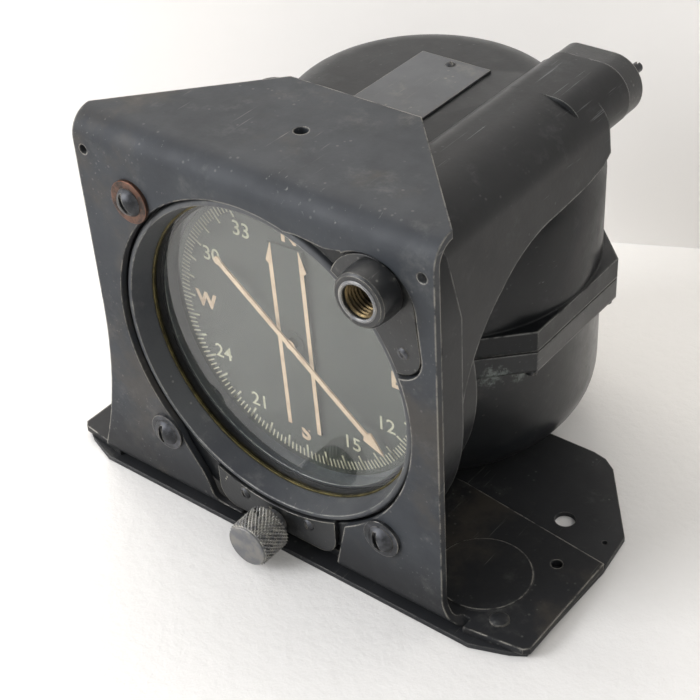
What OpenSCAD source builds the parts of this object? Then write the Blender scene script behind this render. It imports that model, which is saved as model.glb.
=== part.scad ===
// Vertical-dial aircraft compass in a bent sheet bracket.
// Millimetres. +Z is up, +Y points from the dial to the bowl, the base rests on Z = 0.
// Y values below are counted from the front face of the panel, heights from the base.

/* [Bracket] */
// Thickness of the bracket sheet
sheet_t = 1.8; // [1.2:0.1:2.5]
// Width of the front panel
panel_w = 93.2; // [91:0.2:98]
// Height of the whole bracket
panel_h = 98.5; // [97.6:0.1:104]
// Outer radius of the bend at the top
top_bend_r = 6; // [4:0.5:8]
// Outer radius of the bend at the foot
foot_bend_r = 3.6; // [3:0.2:5]
// Radius of the curve from the panel edge to the foot
foot_fillet_r = 8; // [4:0.5:12]
// Radius of the long flare on the panel's left side, below the dial axis
flare_r = 130; // [110:1:160]
// Depth of the top flange
top_flange_d = 37.5; // [28:0.5:44]
// Width of the top flange at its rear edge
top_rear_w = 34.4; // [24:0.2:60]
// Width of the foot over its two tips
foot_w = 132.8; // [120:0.4:150]
// Depth of the foot along its straight sides
foot_side_d = 34; // [30:0.1:37.8]
// Depth of the foot at the middle
foot_mid_d = 39; // [38:0.5:46]
// Width of the straight part of the foot's rear edge
foot_mid_w = 51.6; // [30:0.4:70]
// Radius of the round panel opening
opening_r = 40; // [39.9:0.1:41]
// Width of the notch at the foot
notch_w = 34; // [31:0.5:37]
// Reach of the sheet's left toe into the notch, from the middle
toe_x = 11; // [9:0.5:14]
// Width of the notch where it meets the round opening
notch_top_w = 42.2; // [38:0.2:46]
// Spacing of the panel screws, both ways
screw_sq = 62.86; // [62:0.02:64]
// Radius of the corner holes in the panel
corner_hole_r = 1.1; // [0.8:0.1:1.5]
// Spacing of the corner holes
corner_hole_w = 87.8; // [84:0.2:90]
// Radius of the hole in the top flange
top_hole_r = 1.6; // [1:0.1:2.5]
// Distance of the top hole behind the panel face
top_hole_y = 20; // [14:0.5:28]
// Radius of the small screw holes in the foot
foot_hole_r = 1.3; // [0.8:0.1:2]
// Radius of the raised discs on the foot
disc_r = 11; // [8:0.2:11.2]
// Height of the sheet left below the round opening
low_margin = 7.5; // [6:0.1:9]
// Height left above the round opening
high_margin = 8; // [7:0.1:10]
// Width left beside the round opening
side_margin = 6.6; // [5:0.1:8]

/* [Base plate] */
// Reach of the base plate before the panel face
base_front = 1.3; // [0:0.1:2]
// Thickness of the base plate
base_t = 1.2; // [0.8:0.1:1.6]
// Depth of the base plate
base_d = 67.3; // [62:0.1:72]
// Radius of the two fixing holes
base_hole_r = 2.4; // [2:0.1:3]
// Spacing of the two fixing holes
base_hole_w = 102; // [96:0.5:106]
// Distance of the fixing holes behind the panel face
base_hole_y = 43; // [42:0.5:48]
// Radius of the rivet shanks
rivet_r = 1.6; // [1.2:0.1:2]

/* [Case] */
// Height of the dial axis above the middle of the bracket
axis_rise = 1.25; // [0.9:0.05:2]
// Radius of the round lower half of the case front
case_r = 46.5; // [45:0.1:46.6]
// Depth of the case front behind the panel face
case_lip_y = 8.8; // [8:0.1:10]
// Radius of the case behind its front lip
case_back_r = 42.5; // [41.5:0.1:43.5]
// Height of the hood's flat top above the dial axis
hood_top = 40; // [39:0.1:40.6]
// Thickness of the wall between dial and bowl
partition_t = 2.4; // [1.8:0.1:2.8]
// Distance of the bowl's upright axis behind the panel face
bowl_y = 62; // [62:0.1:64]
// Outer radius of the bowl
bowl_r = 40.9; // [40:0.1:41]
// Wall of the bowl
bowl_wall = 3; // [2:0.1:4]
// Half of the eight-sided joint flange across its flats
flange_half = 41.4; // [41.2:0.1:42]
// Thickness of each half of the joint flange
flange_t = 5.2; // [4:0.1:6.5]
// Height of the joint below the dial axis
joint_drop = 5.8; // [4.5:0.1:7]
// Thickness of the joint gasket
gasket_t = 0.4; // [0.2:0.1:0.8]
// Rounding at the bottom of the bowl
bowl_round = 16; // [10:0.5:18]
// Bottom of the bowl below the dial axis
bowl_drop = 46.6; // [44:0.1:47]
// Radius of the compensator box's rear neck on its right side
neck_r = 7.5; // [7:0.1:7.6]
// Radius of the two bores in the compensator box
comp_bore_r = 3; // [2.6:0.1:3.2]
// Rear end of the compensator box behind the panel face
box_end_y = 81.3; // [78:0.5:86]

/* [Dial] */
// Outer radius of the bezel ring
bezel_r = 39.4; // [39:0.1:39.5]
// Front edge of the bezel behind the panel face
bezel_y = 1.2; // [0.8:0.1:1.8]
// Inner radius of the brass retaining ring
retainer_r = 36.2; // [36.1:0.1:36.8]
// Thickness of the cover glass
glass_t = 2; // [1.6:0.1:2.4]
// Radius of the dial plate
dial_r = 35.9; // [35.4:0.1:36]
// Front face of the dial behind the panel face
dial_y = 13.3; // [12.9:0.1:13.6]
// Thickness of the dial plate
dial_t = 0.8; // [0.6:0.1:1]
// Length of the course bar
course_len = 48.5; // [44:0.5:56]
// Width of the course bar
course_w = 9.6; // [8.8:0.1:10]
// Lean of the course bar at rest, seen from the front
course_lean = 1.5; // [-5:0.5:5]
// Pointer length from axis to tip
pointer_tip = 31.5; // [28:0.1:33]
// Pointer length from axis to tail
pointer_tail = 24.2; // [20:0.1:28]
// Card reading under the pointer tip at rest
pointer_reading = 128.9; // [0:0.1:360]

/* [Setting gears] */
// Module of the setting gears
set_module = 0.5; // [0.49:0.005:0.51]
// Teeth of the course gear
course_teeth = 96; // [96:1:96]
// Teeth of the idler
idler_teeth = 36; // [36:1:36]
// Teeth of the knob pinion
pinion_teeth = 8; // [8:1:8]
// Distance of the knob axis below the dial axis
knob_drop = 43.6; // [43.4:0.1:43.7]
// Radius of the knob
knob_r = 5.75; // [5:0.05:6.4]
// Front face of the knob before the panel face
knob_front = 10.2; // [8:0.1:12]
// Radius of the knob shaft
knob_shaft_r = 1.2; // [1:0.05:1.4]

/* [Pointer drive] */
// Radius of the pointer shaft
shaft_r = 0.8; // [0.6:0.05:1]
// Radius of the float spindle
spindle_r = 1; // [0.8:0.05:1.3]
// Pitch radius of the miter gears at the large end
miter_r = 8; // [7:0.1:9]
// Teeth of each miter gear
miter_teeth = 20; // [16:2:24]
// Face length of the miter gears along the axis
miter_face = 3; // [2:0.1:3.5]
// Radius of the float bell
float_r = 24; // [18:0.5:30]

/* [Clearances] */
// Radial clearance of running shafts
run_clear = 0.05; // [0.02:0.01:0.09]
// Radial clearance of parts that seat in a hole
seat_clear = 0.02; // [0.01:0.01:0.05]
// Gap between parts that move past each other
move_gap = 0.4; // [0.3:0.05:0.8]
// Gap between the panel cut-outs and the plates inside them
cut_gap = 0.7; // [0.4:0.1:1.2]

/* [Hidden] */
$fn = 96;
foot_z = base_t;
foot_top = base_t + sheet_t;
panel_z0 = foot_z + foot_bend_r;
panel_z1 = panel_h - top_bend_r;
axis_h = panel_h / 2 + axis_rise;
flange_rear = bowl_y + flange_half;
// the instrument and its margins fill the sheet that they are set in: 1 at the sizes above
room = min((axis_h - foot_top) / (opening_r + low_margin), (panel_h - axis_h) / (opening_r + high_margin),
  panel_w / 2 / (opening_r + side_margin));
fit = round(1000000 * room) / 1000000;
y_mid = sheet_t + fit * ((flange_rear - knob_front) / 2 - sheet_t);
screw_d = screw_sq / 2;
joint_z = axis_h - joint_drop;
bowl_bottom = axis_h - bowl_drop;
rim_w = 1.4;
rim_r = 0.8;
retainer_y = 6.4;
retainer_t = 0.6;
glass_y = retainer_y + retainer_t;
seal_y = glass_y + glass_t;
seal_t = 0.6;
step_y = seal_y + seal_t;
dial_back = dial_y + dial_t;
gear_t = 1.2;
gear_y = dial_back + 0.9;
partition_y = gear_y + gear_t + 1;
case_back_y = partition_y + partition_t;
chamber_r = dial_r + 0.3;
ledge_r = dial_r - 1.8;
course_pitch = set_module * course_teeth / 2;
idler_pitch = set_module * idler_teeth / 2;
pinion_pitch = set_module * pinion_teeth / 2;
arm_a = course_pitch + idler_pitch;
arm_b = idler_pitch + pinion_pitch;
idler_turn = acos((arm_a * arm_a + knob_drop * knob_drop - arm_b * arm_b) / (2 * arm_a * knob_drop));
idler_x = arm_a * sin(idler_turn);
idler_z = -arm_a * cos(idler_turn);
mesh_a = atan2(idler_z, idler_x);
mesh_b = atan2(-knob_drop - idler_z, -idler_x);
course_phase = course_lean;
idler_phase = mesh_a + 180 - 360 / idler_teeth * (0.5 - (mesh_a - course_phase) * course_teeth / 360);
pinion_phase = mesh_b + 180 - 360 / pinion_teeth * (0.5 - (mesh_b - idler_phase) * idler_teeth / 360);
pinion_tip_r = pinion_pitch + 0.9 * set_module;
idler_tip_r = idler_pitch + 0.9 * set_module;
quill_r = 2.6;
quill_back_r = 3.5;
quill_front = dial_y - 1.2;
hub_r = 4;
course_y = quill_front + 0.2;
course_t = 0.6;
pointer_y = quill_front - 1.7;
pointer_t = 0.4;
miter_y = bowl_y - miter_r;
quill_end = miter_y - 4.4;
lamp_x = 33.4;
lamp_z = 34.2;
lamp_r = 6.2;
lamp_bore_r = 3.7;
lamp_front = -6;
lamp_back = sheet_t + 0.2;
lobe_x = 31.3;
lobe_z = 29.7;
lobe_r = 10.9;
lamp_neck_r = lobe_r - norm([lamp_x - lobe_x, lamp_z - lobe_z]) - cut_gap;
ear_x = 37;
ear_z = 20.4;
ear_r = 6.2;
lamp_screw_x = 38.4;
lamp_screw_z = 20.2;
knob_plate_w = 34.4;
knob_plate_drop = 46.3;
knob_plate_y = 0.8;
knob_plate_back = 4;
plate_screw_x = 9.4;
plate_screw_drop = 40.4;
knob_stand = 2.5;
knob_back = knob_plate_y - knob_stand;
knob_hub_r = 3.2;
knob_hole_drop = knob_drop;
knob_bush_r = 2.4;
box_top = hood_top + 5.9;
box_side = 43.8;
wall_low = 22;
corner_r = 7;
crown_r = 18;
crown_x = 29.1;
crown_turn = 35;
shoulder_r = 6.6;
shoulder_x = 25;
flank_x = 16.5;
neck_x = 33.2;
neck_left_x = 24.4;
neck_left_r = 4.2;
neck_y = 70;
bore_y = 40;
comp_mid = 30.4;
comp_x = 5;
comp_z = axis_h + hood_top - 0.1;
comp_r = 1.2;
comp_magnet_r = comp_bore_r - 0.8;
cap_t = 5.7;
plate_y0 = 30;
plate_y1 = 74.6;
name_w = 18.6;
name_t = 0.5;
bolt_circle = flange_half / cos(22.5) - 2.3;
bolt_r = 0.95;
bolt_head_r = 1.4;
bolt_head_h = 1.6;
case_y0 = sheet_t + 0.1;
washer_t = 0.8;
rivet_x = foot_w / 2 - 9.8;
rivet_y = 6.9;
disc_x = foot_w / 2 - 20.1;
disc_y = 16.2;
fillet_z = foot_z - 0.4 + foot_fillet_r;
foot_front = 0.6;
flare_w = flare_r - sqrt(flare_r * flare_r - axis_h * axis_h);
toe_r = 4.2;
toe_top = foot_z + 2.1;
dome_arc_r = 12;
dome_flat_r = 22.7;
inner_top = hood_top - 4;
float_top = axis_h - 19;
float_h = 12;
yoke_z = float_top - float_h - 1.6;
yoke_t = 1.2;
magnet_s = float_r / 6;
magnet_l = float_r * 1.4;
bearing_r = 3;
spindle_low = bowl_bottom + bowl_wall + 1.6;
spindle_high = axis_h + hood_top - 8.6;

// Puts the middle of the footprint at the origin, for the sheet and what is fixed on it.
module sheet_datum() translate([0, -y_mid, 0]) children();

// The same for the instrument, which is fitted to the sheet from the panel's back face.
module datum() sheet_datum() translate([0, sheet_t, axis_h]) scale(fit)
  translate([0, -sheet_t, -axis_h]) children();

// Extrudes a front-view outline, drawn about the dial axis, from y0 to y1.
module plate_y(y0, y1) translate([0, y1, axis_h]) rotate([90, 0, 0]) linear_extrude(y1 - y0) children();

// Cylinder along Y.
module rod_y(r, y0, y1, x = 0, z = axis_h) translate([x, y1, z]) rotate([90, 0, 0])
  cylinder(r = r, h = y1 - y0);

// Extrudes a side-view outline, drawn about the dial axis, from x0 to x1.
module plate_x(x0, x1) translate([x0, 0, axis_h]) rotate([90, 0, 90]) linear_extrude(x1 - x0) children();

// Cylinder along Z on the bowl's axis.
module rod_z(r, z0, z1) translate([0, bowl_y, z0]) cylinder(r = r, h = z1 - z0);

// The same thing on the left and on the right.
module both_sides() for (m = [0, 1]) mirror([m, 0, 0]) children();

// Places of the three panel screws, in the front view.
module at_panel_screws() for (p = [[-1, 1], [-1, -1], [1, -1]])
  translate([p[0] * screw_d, p[1] * screw_d]) children();

// Straight-sided gear outline with room for backlash.
module gear_outline(teeth, pitch, module_size, phase) {
  step = 360 / teeth;
  tip = pitch + 0.8 * module_size;
  root = pitch - 1.05 * module_size;
  polygon([for (i = [0 : teeth - 1], p = [[-0.28, root], [-0.12, tip], [0.12, tip], [0.28, root]])
    p[1] * [cos(phase + (i + p[0]) * step), sin(phase + (i + p[0]) * step)]]);
}

// Bevel gear with its axis along Z and its apex above the large end.
module miter_gear(phase) {
  step = 360 / miter_teeth;
  linear_extrude(miter_face, scale = (miter_r - miter_face) / miter_r)
    polygon([for (i = [0 : miter_teeth - 1], p = [[-0.27, 0.885], [-0.12, 1.085], [0.12, 1.085], [0.27, 0.885]])
      p[1] * miter_r * [cos(phase + (i + p[0]) * step), sin(phase + (i + p[0]) * step)]]);
}

// Cut-out of the panel around the lamp socket, shrunk by a gap.
module lamp_lobe(gap) {
  translate([lobe_x, lobe_z]) circle(lobe_r - gap);
  translate([ear_x, ear_z]) circle(ear_r - gap);
  polygon([[lobe_x - 8, lobe_z], [lobe_x + lobe_r - gap, lobe_z], [ear_x + ear_r - gap, ear_z],
    [ear_x - 4, ear_z]]);
}

// Outline of the plate that carries the knob.
module knob_plate_outline(gap) {
  corner = 5;
  half = knob_plate_w / 2 + gap;
  low = -knob_plate_drop - gap;
  translate([-half, low + corner]) square([2 * half, knob_plate_drop - corner - 33.5 + gap]);
  translate([corner - half, low]) square([2 * half - 2 * corner, corner + 1]);
  for (s = [-1, 1]) translate([s * (half - corner), low + corner]) circle(corner);
}

// Slotted screw along Y with its head toward the front.
module slotted_screw(shank_r, shank_l, head_r, head_h, turn) rotate([0, turn, 0]) difference() {
  union() {
    rotate([-90, 0, 0]) cylinder(r = shank_r, h = shank_l);
    intersection() {
      translate([0, head_r * 1.1 - head_h, 0]) sphere(head_r * 1.1 + 0.001);
      rotate([90, 0, 0]) cylinder(r = head_r, h = head_h + 1);
    }
  }
  translate([-head_r - 1, -head_h - 1, -head_r * 0.16]) cube([2 * head_r + 2, head_h * 0.5 + 1, head_r * 0.32]);
}

// Quarter of a bent sheet along X: its outer radius and the length.
module bend(r, length) rotate([0, 90, 0]) difference() {
  cylinder(r = r, h = length, center = true);
  cylinder(r = r - sheet_t, h = length + 1, center = true);
}

// Front-view outline of panel and foot bend: the left side flares out, the right one curves out at the foot.
module panel_outline(low, high) difference() {
  half = panel_w / 2;
  translate([-half - flare_w, low - axis_h]) square([2 * half + flare_w + foot_fillet_r, high - low]);
  translate([half + foot_fillet_r, fillet_z - axis_h]) circle(foot_fillet_r);
  translate([half, fillet_z - axis_h]) square([foot_fillet_r + 1, panel_h]);
  translate([-half - flare_r, 0]) circle(flare_r);
  translate([-half - flare_w - 1, 0]) square([flare_w + 1, panel_h]);
}

// Notch for the knob: straight on the right, swept in to a toe on the left.
module notch() {
  low = toe_top - axis_h;
  side = -notch_w / 2 - 2.9;
  polygon(concat([[notch_w / 2, -axis_h], [fit * notch_top_w / 2, -33 * fit], [-28.6 * fit, -27.6 * fit],
    [-26.3 * fit, -32.6 * fit], [-23.6 * fit, -36.6 * fit], [-21.4 * fit, -39.8 * fit]],
    [for (a = [180 : 15 : 270]) [side + toe_r + toe_r * cos(a), low + toe_r + toe_r * sin(a)]],
    [[-toe_x, low], [-toe_x, -axis_h]]));
}

module panel_cuts() {
  scale(fit) {
    circle(opening_r);
    lamp_lobe(0);
    polygon([[6, 38], [14, 38.8], [21, 38.2], [24.9, 39], [28, 30]]);
    at_panel_screws() circle(2.1);
  }
  notch();
  for (s = [-1, 1]) translate([s * corner_hole_w / 2, panel_h - axis_h - 8]) circle(corner_hole_r);
}

// Half of the foot's front edge, from the bend to the tip.
function front_edge() = [[panel_w / 2 + foot_fillet_r * 0.6, foot_front],
  [foot_w / 2 - 1.2, foot_front + 2], [foot_w / 2, foot_front + 3.2]];

// The points of a half outline again on the left, so that the outline closes.
function with_mirror(points) = concat(points,
  [for (i = [len(points) - 1 : -1 : 0]) [-points[i][0], points[i][1]]]);

module foot_outline() polygon(with_mirror(concat([[panel_w / 2 + foot_fillet_r * 0.6, foot_bend_r]],
  front_edge(), [[foot_w / 2, foot_side_d], [foot_mid_w / 2, foot_mid_d]])));

module bracket() color("#4a4d52") sheet_datum() difference() {
  union() {
    plate_y(0, sheet_t) difference() {
      panel_outline(panel_z0, panel_z1);
      panel_cuts();
    }
    intersection() {
      translate([0, top_bend_r, panel_z1]) bend(top_bend_r, panel_w);
      translate([-panel_w, 0, panel_z1]) cube([2 * panel_w, top_bend_r, top_bend_r]);
    }
    translate([0, 0, panel_h - sheet_t]) linear_extrude(sheet_t) polygon([[-panel_w / 2, top_bend_r],
      [panel_w / 2, top_bend_r], [top_rear_w / 2, top_flange_d], [-top_rear_w / 2, top_flange_d]]);
    intersection() {
      translate([0, foot_bend_r, panel_z0]) bend(foot_bend_r, panel_w + 2 * flare_w);
      plate_y(0, foot_bend_r) difference() {
        panel_outline(foot_z, panel_z0);
        notch();
      }
    }
    translate([0, 0, foot_z]) linear_extrude(sheet_t) foot_outline();
    both_sides() translate([disc_x, disc_y, foot_z]) cylinder(r = disc_r, h = sheet_t + 0.4);
  }
  translate([0, top_hole_y, panel_h - sheet_t - 1]) cylinder(r = top_hole_r, h = sheet_t + 2);
  both_sides() {
    translate([rivet_x, rivet_y, 0]) cylinder(r = rivet_r + seat_clear, h = foot_top + 1);
    translate([foot_w / 2 - 8.5, 28, foot_z - 1]) cylinder(r = foot_hole_r, h = sheet_t + 2);
  }
}

module base_outline() polygon(with_mirror([[foot_w / 2 - 12.4, -base_front], [foot_w / 2 - 4, 1.8],
  [foot_w / 2 - 0.8, foot_front + 3.2], [foot_w / 2, foot_side_d], [foot_w / 2 - 1.2, base_d - 21.8],
  [foot_w / 2 - 15, base_d - 3], [foot_w / 2 - 18.4, base_d - 0.7], [foot_w / 2 - 22, base_d]]));

module base_plate() color("#3c3e41") sheet_datum() difference() {
  linear_extrude(base_t) base_outline();
  both_sides() {
    translate([base_hole_w / 2, base_hole_y, -1]) cylinder(r = base_hole_r, h = base_t + 2);
    translate([rivet_x, rivet_y, -1]) cylinder(r = rivet_r + seat_clear, h = base_t + 2);
  }
  translate([foot_w / 2 - 4.1, 41.5, -1]) cylinder(r = 0.6, h = base_t + 2);
}

module base_rivet() color("#57595c") sheet_datum() both_sides() translate([rivet_x, rivet_y, 0]) {
  cylinder(r = rivet_r, h = foot_top + 0.2);
  intersection() {
    translate([0, 0, foot_top + 0.9 - 3.4]) sphere(3.4);
    translate([0, 0, foot_top]) cylinder(r = rivet_r + 1, h = 2);
  }
}

module panel_screw() color("#55575a") sheet_datum() translate([0, 0, axis_h])
  for (p = [[-1, 1, 60], [-1, -1, 80], [1, -1, 70]])
    translate([p[0] * screw_d * fit, -washer_t, p[1] * screw_d * fit])
    slotted_screw(1.7 * fit, case_lip_y * fit + washer_t - 0.3, 3.4 * fit, 2 * fit, p[2]);

module washer(r) rotate([-90, 0, 0]) difference() {
  cylinder(r = r * fit, h = washer_t);
  translate([0, 0, -1]) cylinder(r = 1.9 * fit, h = washer_t + 2);
}

module panel_washer() color("#3f4144") sheet_datum() for (s = [-1, 1])
  translate([s * screw_d * fit, -washer_t, axis_h - screw_d * fit]) washer(4.6);

module copper_washer() color("#7d6155") sheet_datum()
  translate([-screw_d * fit, -washer_t, axis_h + screw_d * fit]) washer(5);

// Front-view outline of the case: round below, square above with sloping shoulders.
module case_outline() {
  intersection() {
    circle(case_r);
    translate([-case_r, -case_r]) square([2 * case_r, case_r + 1]);
  }
  polygon([[-case_r, 0], [case_r, 0], [case_r, 27], [case_r - 3.2, 39.5], [case_r - 5.7, 42],
    [5.7 - case_r, 42], [3.2 - case_r, 39.5], [-case_r, 27]]);
  at_panel_screws() circle(5);
}

// Half section of the upper bowl: flat top, rounded shoulder, cone and straight wall.
module dome_section(inset, low) {
  top = hood_top + axis_h - (inset > 0 ? hood_top - inner_top : 0);
  arc = dome_arc_r;
  side = bowl_r - inset;
  flat = dome_flat_r - inset;
  knee_x = flat + arc * sin(60);
  knee_z = top - arc + arc * cos(60);
  polygon(concat([[0, low], [side, low], [side, knee_z - (side - knee_x) * tan(60)]],
    [for (a = [60 : -6 : 0]) [flat + arc * sin(a), top - arc + arc * cos(a)]], [[0, top]]));
}

module octagon(z0, z1, half) translate([0, bowl_y, z0]) rotate(22.5)
  cylinder(r = half / cos(22.5), h = z1 - z0, $fn = 8);

module at_bowl_screws() for (i = [0 : 7]) translate([0, bowl_y, 0]) rotate(22.5 + 45 * i)
  translate([bolt_circle, 0, 0]) children();

// Front-view outline of the compensator box: sloping flank, crowned top, round corner and leaning wall.
module box_outline() {
  shoulder_z = box_top - shoulder_r;
  reach = norm([shoulder_x - flank_x, shoulder_z - hood_top]);
  rise = atan2(shoulder_z - hood_top, shoulder_x - flank_x) + asin(shoulder_r / reach);
  run = sqrt(reach * reach - shoulder_r * shoulder_r);
  crown = [crown_x, box_top - crown_r];
  crown_end = [sin(crown_turn), cos(crown_turn)];
  corner = crown + (crown_r - corner_r) * crown_end;
  wall = corner - [box_side, wall_low];
  lean = atan2(wall[1], wall[0]) - asin(corner_r / norm(wall)) - 90;
  span = 90 - lean - crown_turn;
  translate([shoulder_x, shoulder_z]) circle(shoulder_r);
  polygon(concat([[shoulder_x, 20], [box_side, 20], [box_side, wall_low]],
    [for (i = [0 : 9], a = [90 - lean - span * i / 9]) corner + corner_r * [sin(a), cos(a)]],
    [for (i = [1 : 7], a = [crown_turn * (1 - i / 7)]) crown + crown_r * [sin(a), cos(a)]],
    [[shoulder_x, box_top]]));
  polygon([[flank_x, hood_top - 8], [flank_x, hood_top],
    [flank_x + run * cos(rise), hood_top + run * sin(rise)], [shoulder_x, shoulder_z],
    [shoulder_x, hood_top - 8]]);
}

// Outline of the neck behind the box, shrunk by a gap.
module neck_outline(gap) {
  translate([neck_x, box_top - neck_r]) circle(neck_r - gap);
  translate([neck_left_x, box_top - neck_left_r]) circle(neck_left_r - gap);
  polygon([[neck_left_x, box_top - gap], [neck_x, box_top - gap], [neck_x, box_top - 2 * neck_r + gap],
    [neck_left_x, box_top - 2 * neck_left_r + gap]]);
}

// Hood between the case front and the bowl, arched away below, with the box along its right side.
module hood() {
  difference() {
    plate_y(case_lip_y - 1, bowl_y - 14) {
      translate([-box_side, -10]) square([2 * box_side, 10 + wall_low]);
      translate([-27.3, -10]) square([54.6, 10 + hood_top]);
      translate([-27.3, hood_top - 16]) circle(16);
      box_outline();
    }
    translate([-60, 47, axis_h - 7.5]) rotate([0, 90, 0]) cylinder(r = 35.6, h = 120);
    translate([-60, 47, axis_h - 30]) cube([120, 40, 22.5]);
  }
  intersection() {
    plate_y(46, neck_y) box_outline();
    plate_x(0, 60) polygon([[45, 28.1], [48, 28.1], [60, 28.8], [66.8, 30.1], [neck_y + 1, 32.6],
      [neck_y + 1, 60], [45, 60]]);
  }
  plate_y(neck_y - 8, box_end_y) neck_outline(0);
  // fillet between the neck and the top of the dome
  plate_y(neck_y - 8, box_end_y - 2) difference() {
    polygon([[13, hood_top - 6], [neck_left_x, hood_top - 6], [neck_left_x, box_top - 1.2],
      [neck_left_x - 2.8, box_top - 1.2], [13, hood_top - 0.6]]);
    translate([13.6, hood_top + 6.4]) circle(7);
  }
}

module hood_cavity() difference() {
  plate_y(case_back_y + 2, bowl_y - 17) translate([-34, -6]) square([52, inner_top + 6]);
  translate([-60, 47, axis_h - 7.5]) rotate([0, 90, 0]) cylinder(r = 39, h = 120);
}

module case_body() color("#3a3b3d") datum() difference() {
  union() {
    plate_y(case_y0, case_lip_y) case_outline();
    rod_y(case_back_r, case_lip_y - 1, case_back_y);
    translate([-12, case_lip_y - 1, axis_h - knob_drop - 3.5]) cube([24, case_back_y - case_lip_y + 1, 12]);
    hood();
    translate([0, bowl_y, 0]) rotate_extrude() dome_section(0, joint_z);
    octagon(joint_z, joint_z + flange_t, flange_half);
    rod_y(joint_drop - 0.3, case_back_y - 1, bowl_y - bowl_r + 5);
  }
  // dial chamber, front to back
  rod_y(bezel_r + seat_clear, 0, step_y);
  rod_y(opening_r + 0.2, 0, case_y0 + 1.6);
  rod_y(chamber_r, step_y - 1, dial_back);
  rod_y(ledge_r, dial_back - 1, partition_y);
  rod_y(idler_tip_r + move_gap, dial_back, partition_y, idler_x, axis_h + idler_z);
  rod_y(pinion_tip_r + move_gap, dial_back, partition_y, 0, axis_h - knob_drop);
  rod_y(quill_back_r + seat_clear, partition_y - 1, bowl_y - bowl_r + 8);
  rod_y(1.5 + seat_clear, partition_y - 1, case_back_y - 0.6, idler_x, axis_h + idler_z);
  // seat of the knob plate, knob bush and screws
  plate_y(0, knob_plate_back) knob_plate_outline(seat_clear);
  rod_y(knob_bush_r + seat_clear, 0, dial_back + 0.1, 0, axis_h - knob_hole_drop);
  for (s = [-1, 1]) rod_y(1.1, 0, case_lip_y, s * plate_screw_x, axis_h - plate_screw_drop);
  rod_y(1.1, 0, case_lip_y, lamp_screw_x, axis_h + lamp_screw_z);
  plate_y(0, case_lip_y + 1) at_panel_screws() circle(1.7 + seat_clear);
  // bowl
  difference() {
    translate([0, bowl_y, 0]) rotate_extrude() dome_section(bowl_wall, joint_z - 1);
    rod_z(5, axis_h + 26, axis_h + 50);
  }
  difference() {
    hood_cavity();
    rod_z(5, axis_h + 26, axis_h + 50);
  }
  rod_z(bearing_r + seat_clear, axis_h + 20, axis_h + 33);
  at_bowl_screws() cylinder(r = bolt_r + seat_clear, h = joint_z + flange_t - 1);
  // compensator bores
  for (s = [-1, 1]) {
    rod_y(comp_bore_r, bore_y, box_end_y + 1, comp_mid + s * comp_x, comp_z);
    rod_y(comp_r + run_clear, bore_y - 4, bore_y + 1, comp_mid + s * comp_x, comp_z);
  }
  // name plate screws and filler
  for (y = [plate_y0 + 2.4, plate_y1 - 2.4]) translate([0, y, axis_h + hood_top - 3])
    cylinder(r = 0.9 + seat_clear, h = 9);
  rod_y(5.6, bowl_y + bowl_r - 0.8, bowl_y + bowl_r + 9, 0, axis_h + 9);
  rod_y(3.4 + seat_clear, bowl_y + bowl_r - 9, bowl_y + bowl_r + 9, 0, axis_h + 9);
}

module bezel_ring() color("#2c2d2f") datum() translate([0, 0, axis_h]) rotate([-90, 0, 0]) rotate_extrude()
  polygon(concat([[bezel_r, retainer_y], [retainer_r + 0.4, retainer_y], [bezel_r - rim_w, bezel_y]],
    [for (a = [0 : 15 : 90]) [bezel_r - rim_r + rim_r * sin(a), bezel_y + rim_r - rim_r * cos(a)]]));

module ring_y(r0, r1, y0, y1) difference() {
  rod_y(r1, y0, y1);
  rod_y(r0, y0 - 1, y1 + 1);
}

module retaining_ring() color("#8a7a3c") datum() ring_y(retainer_r, bezel_r - 0.1, retainer_y, glass_y);

module cover_glass() color("#c8d4d2", 0.35) datum() rod_y(bezel_r - 0.2, glass_y, seal_y);

module glass_gasket() color("#232323") datum() ring_y(retainer_r, bezel_r - 0.2, seal_y, step_y);

module distance_ring() color("#2a2b2c") datum() ring_y(dial_r - 0.7, dial_r, step_y - seal_t, dial_y);

module dial_plate() color("#2b2c2c") datum() ring_y(hub_r + 0.6, dial_r, dial_y, dial_back);

module course_bar() color("#e0cfba") datum() difference() {
  union() {
    plate_y(course_y, course_y + course_t) rotate(course_lean) {
      square([course_w, course_len], center = true);
      for (s = [-1, 1]) polygon([[s * (course_w / 2 - 0.4), course_len / 2 - 2.5],
        [s * (course_w / 2 + 0.9), course_len / 2 - 4.9], [s * (course_w / 2 - 0.4), course_len / 2 - 5.6]]);
    }
    rod_y(hub_r, course_y, gear_y);
  }
  rod_y(quill_r + run_clear, course_y - 1, gear_y + 1);
}

module course_gear() color("#b09a5a") datum() difference() {
  union() {
    plate_y(gear_y, gear_y + gear_t) gear_outline(course_teeth, course_pitch, set_module, course_phase);
    rod_y(hub_r, gear_y, gear_y + gear_t + 0.2);
  }
  rod_y(quill_r + run_clear, gear_y - 1, gear_y + gear_t + 1);
  for (i = [0 : 4]) translate([0, 0, axis_h]) rotate([0, 72 * i, 0])
    translate([0, gear_y - 1, course_pitch * 0.58]) rotate([-90, 0, 0])
      cylinder(r = course_pitch * 0.22, h = gear_t + 2);
}

module idler_gear() color("#b09a5a") datum() difference() {
  translate([idler_x, 0, idler_z]) plate_y(gear_y, gear_y + gear_t)
    gear_outline(idler_teeth, idler_pitch, set_module, idler_phase);
  rod_y(1.5 + run_clear, gear_y - 1, gear_y + gear_t + 1, idler_x, axis_h + idler_z);
}

module idler_stud() color("#9a9c9e") datum() {
  rod_y(1.5, gear_y - 0.4, case_back_y - 0.7, idler_x, axis_h + idler_z);
  rod_y(2.6, gear_y - 0.6, gear_y - 0.3, idler_x, axis_h + idler_z);
}

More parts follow.
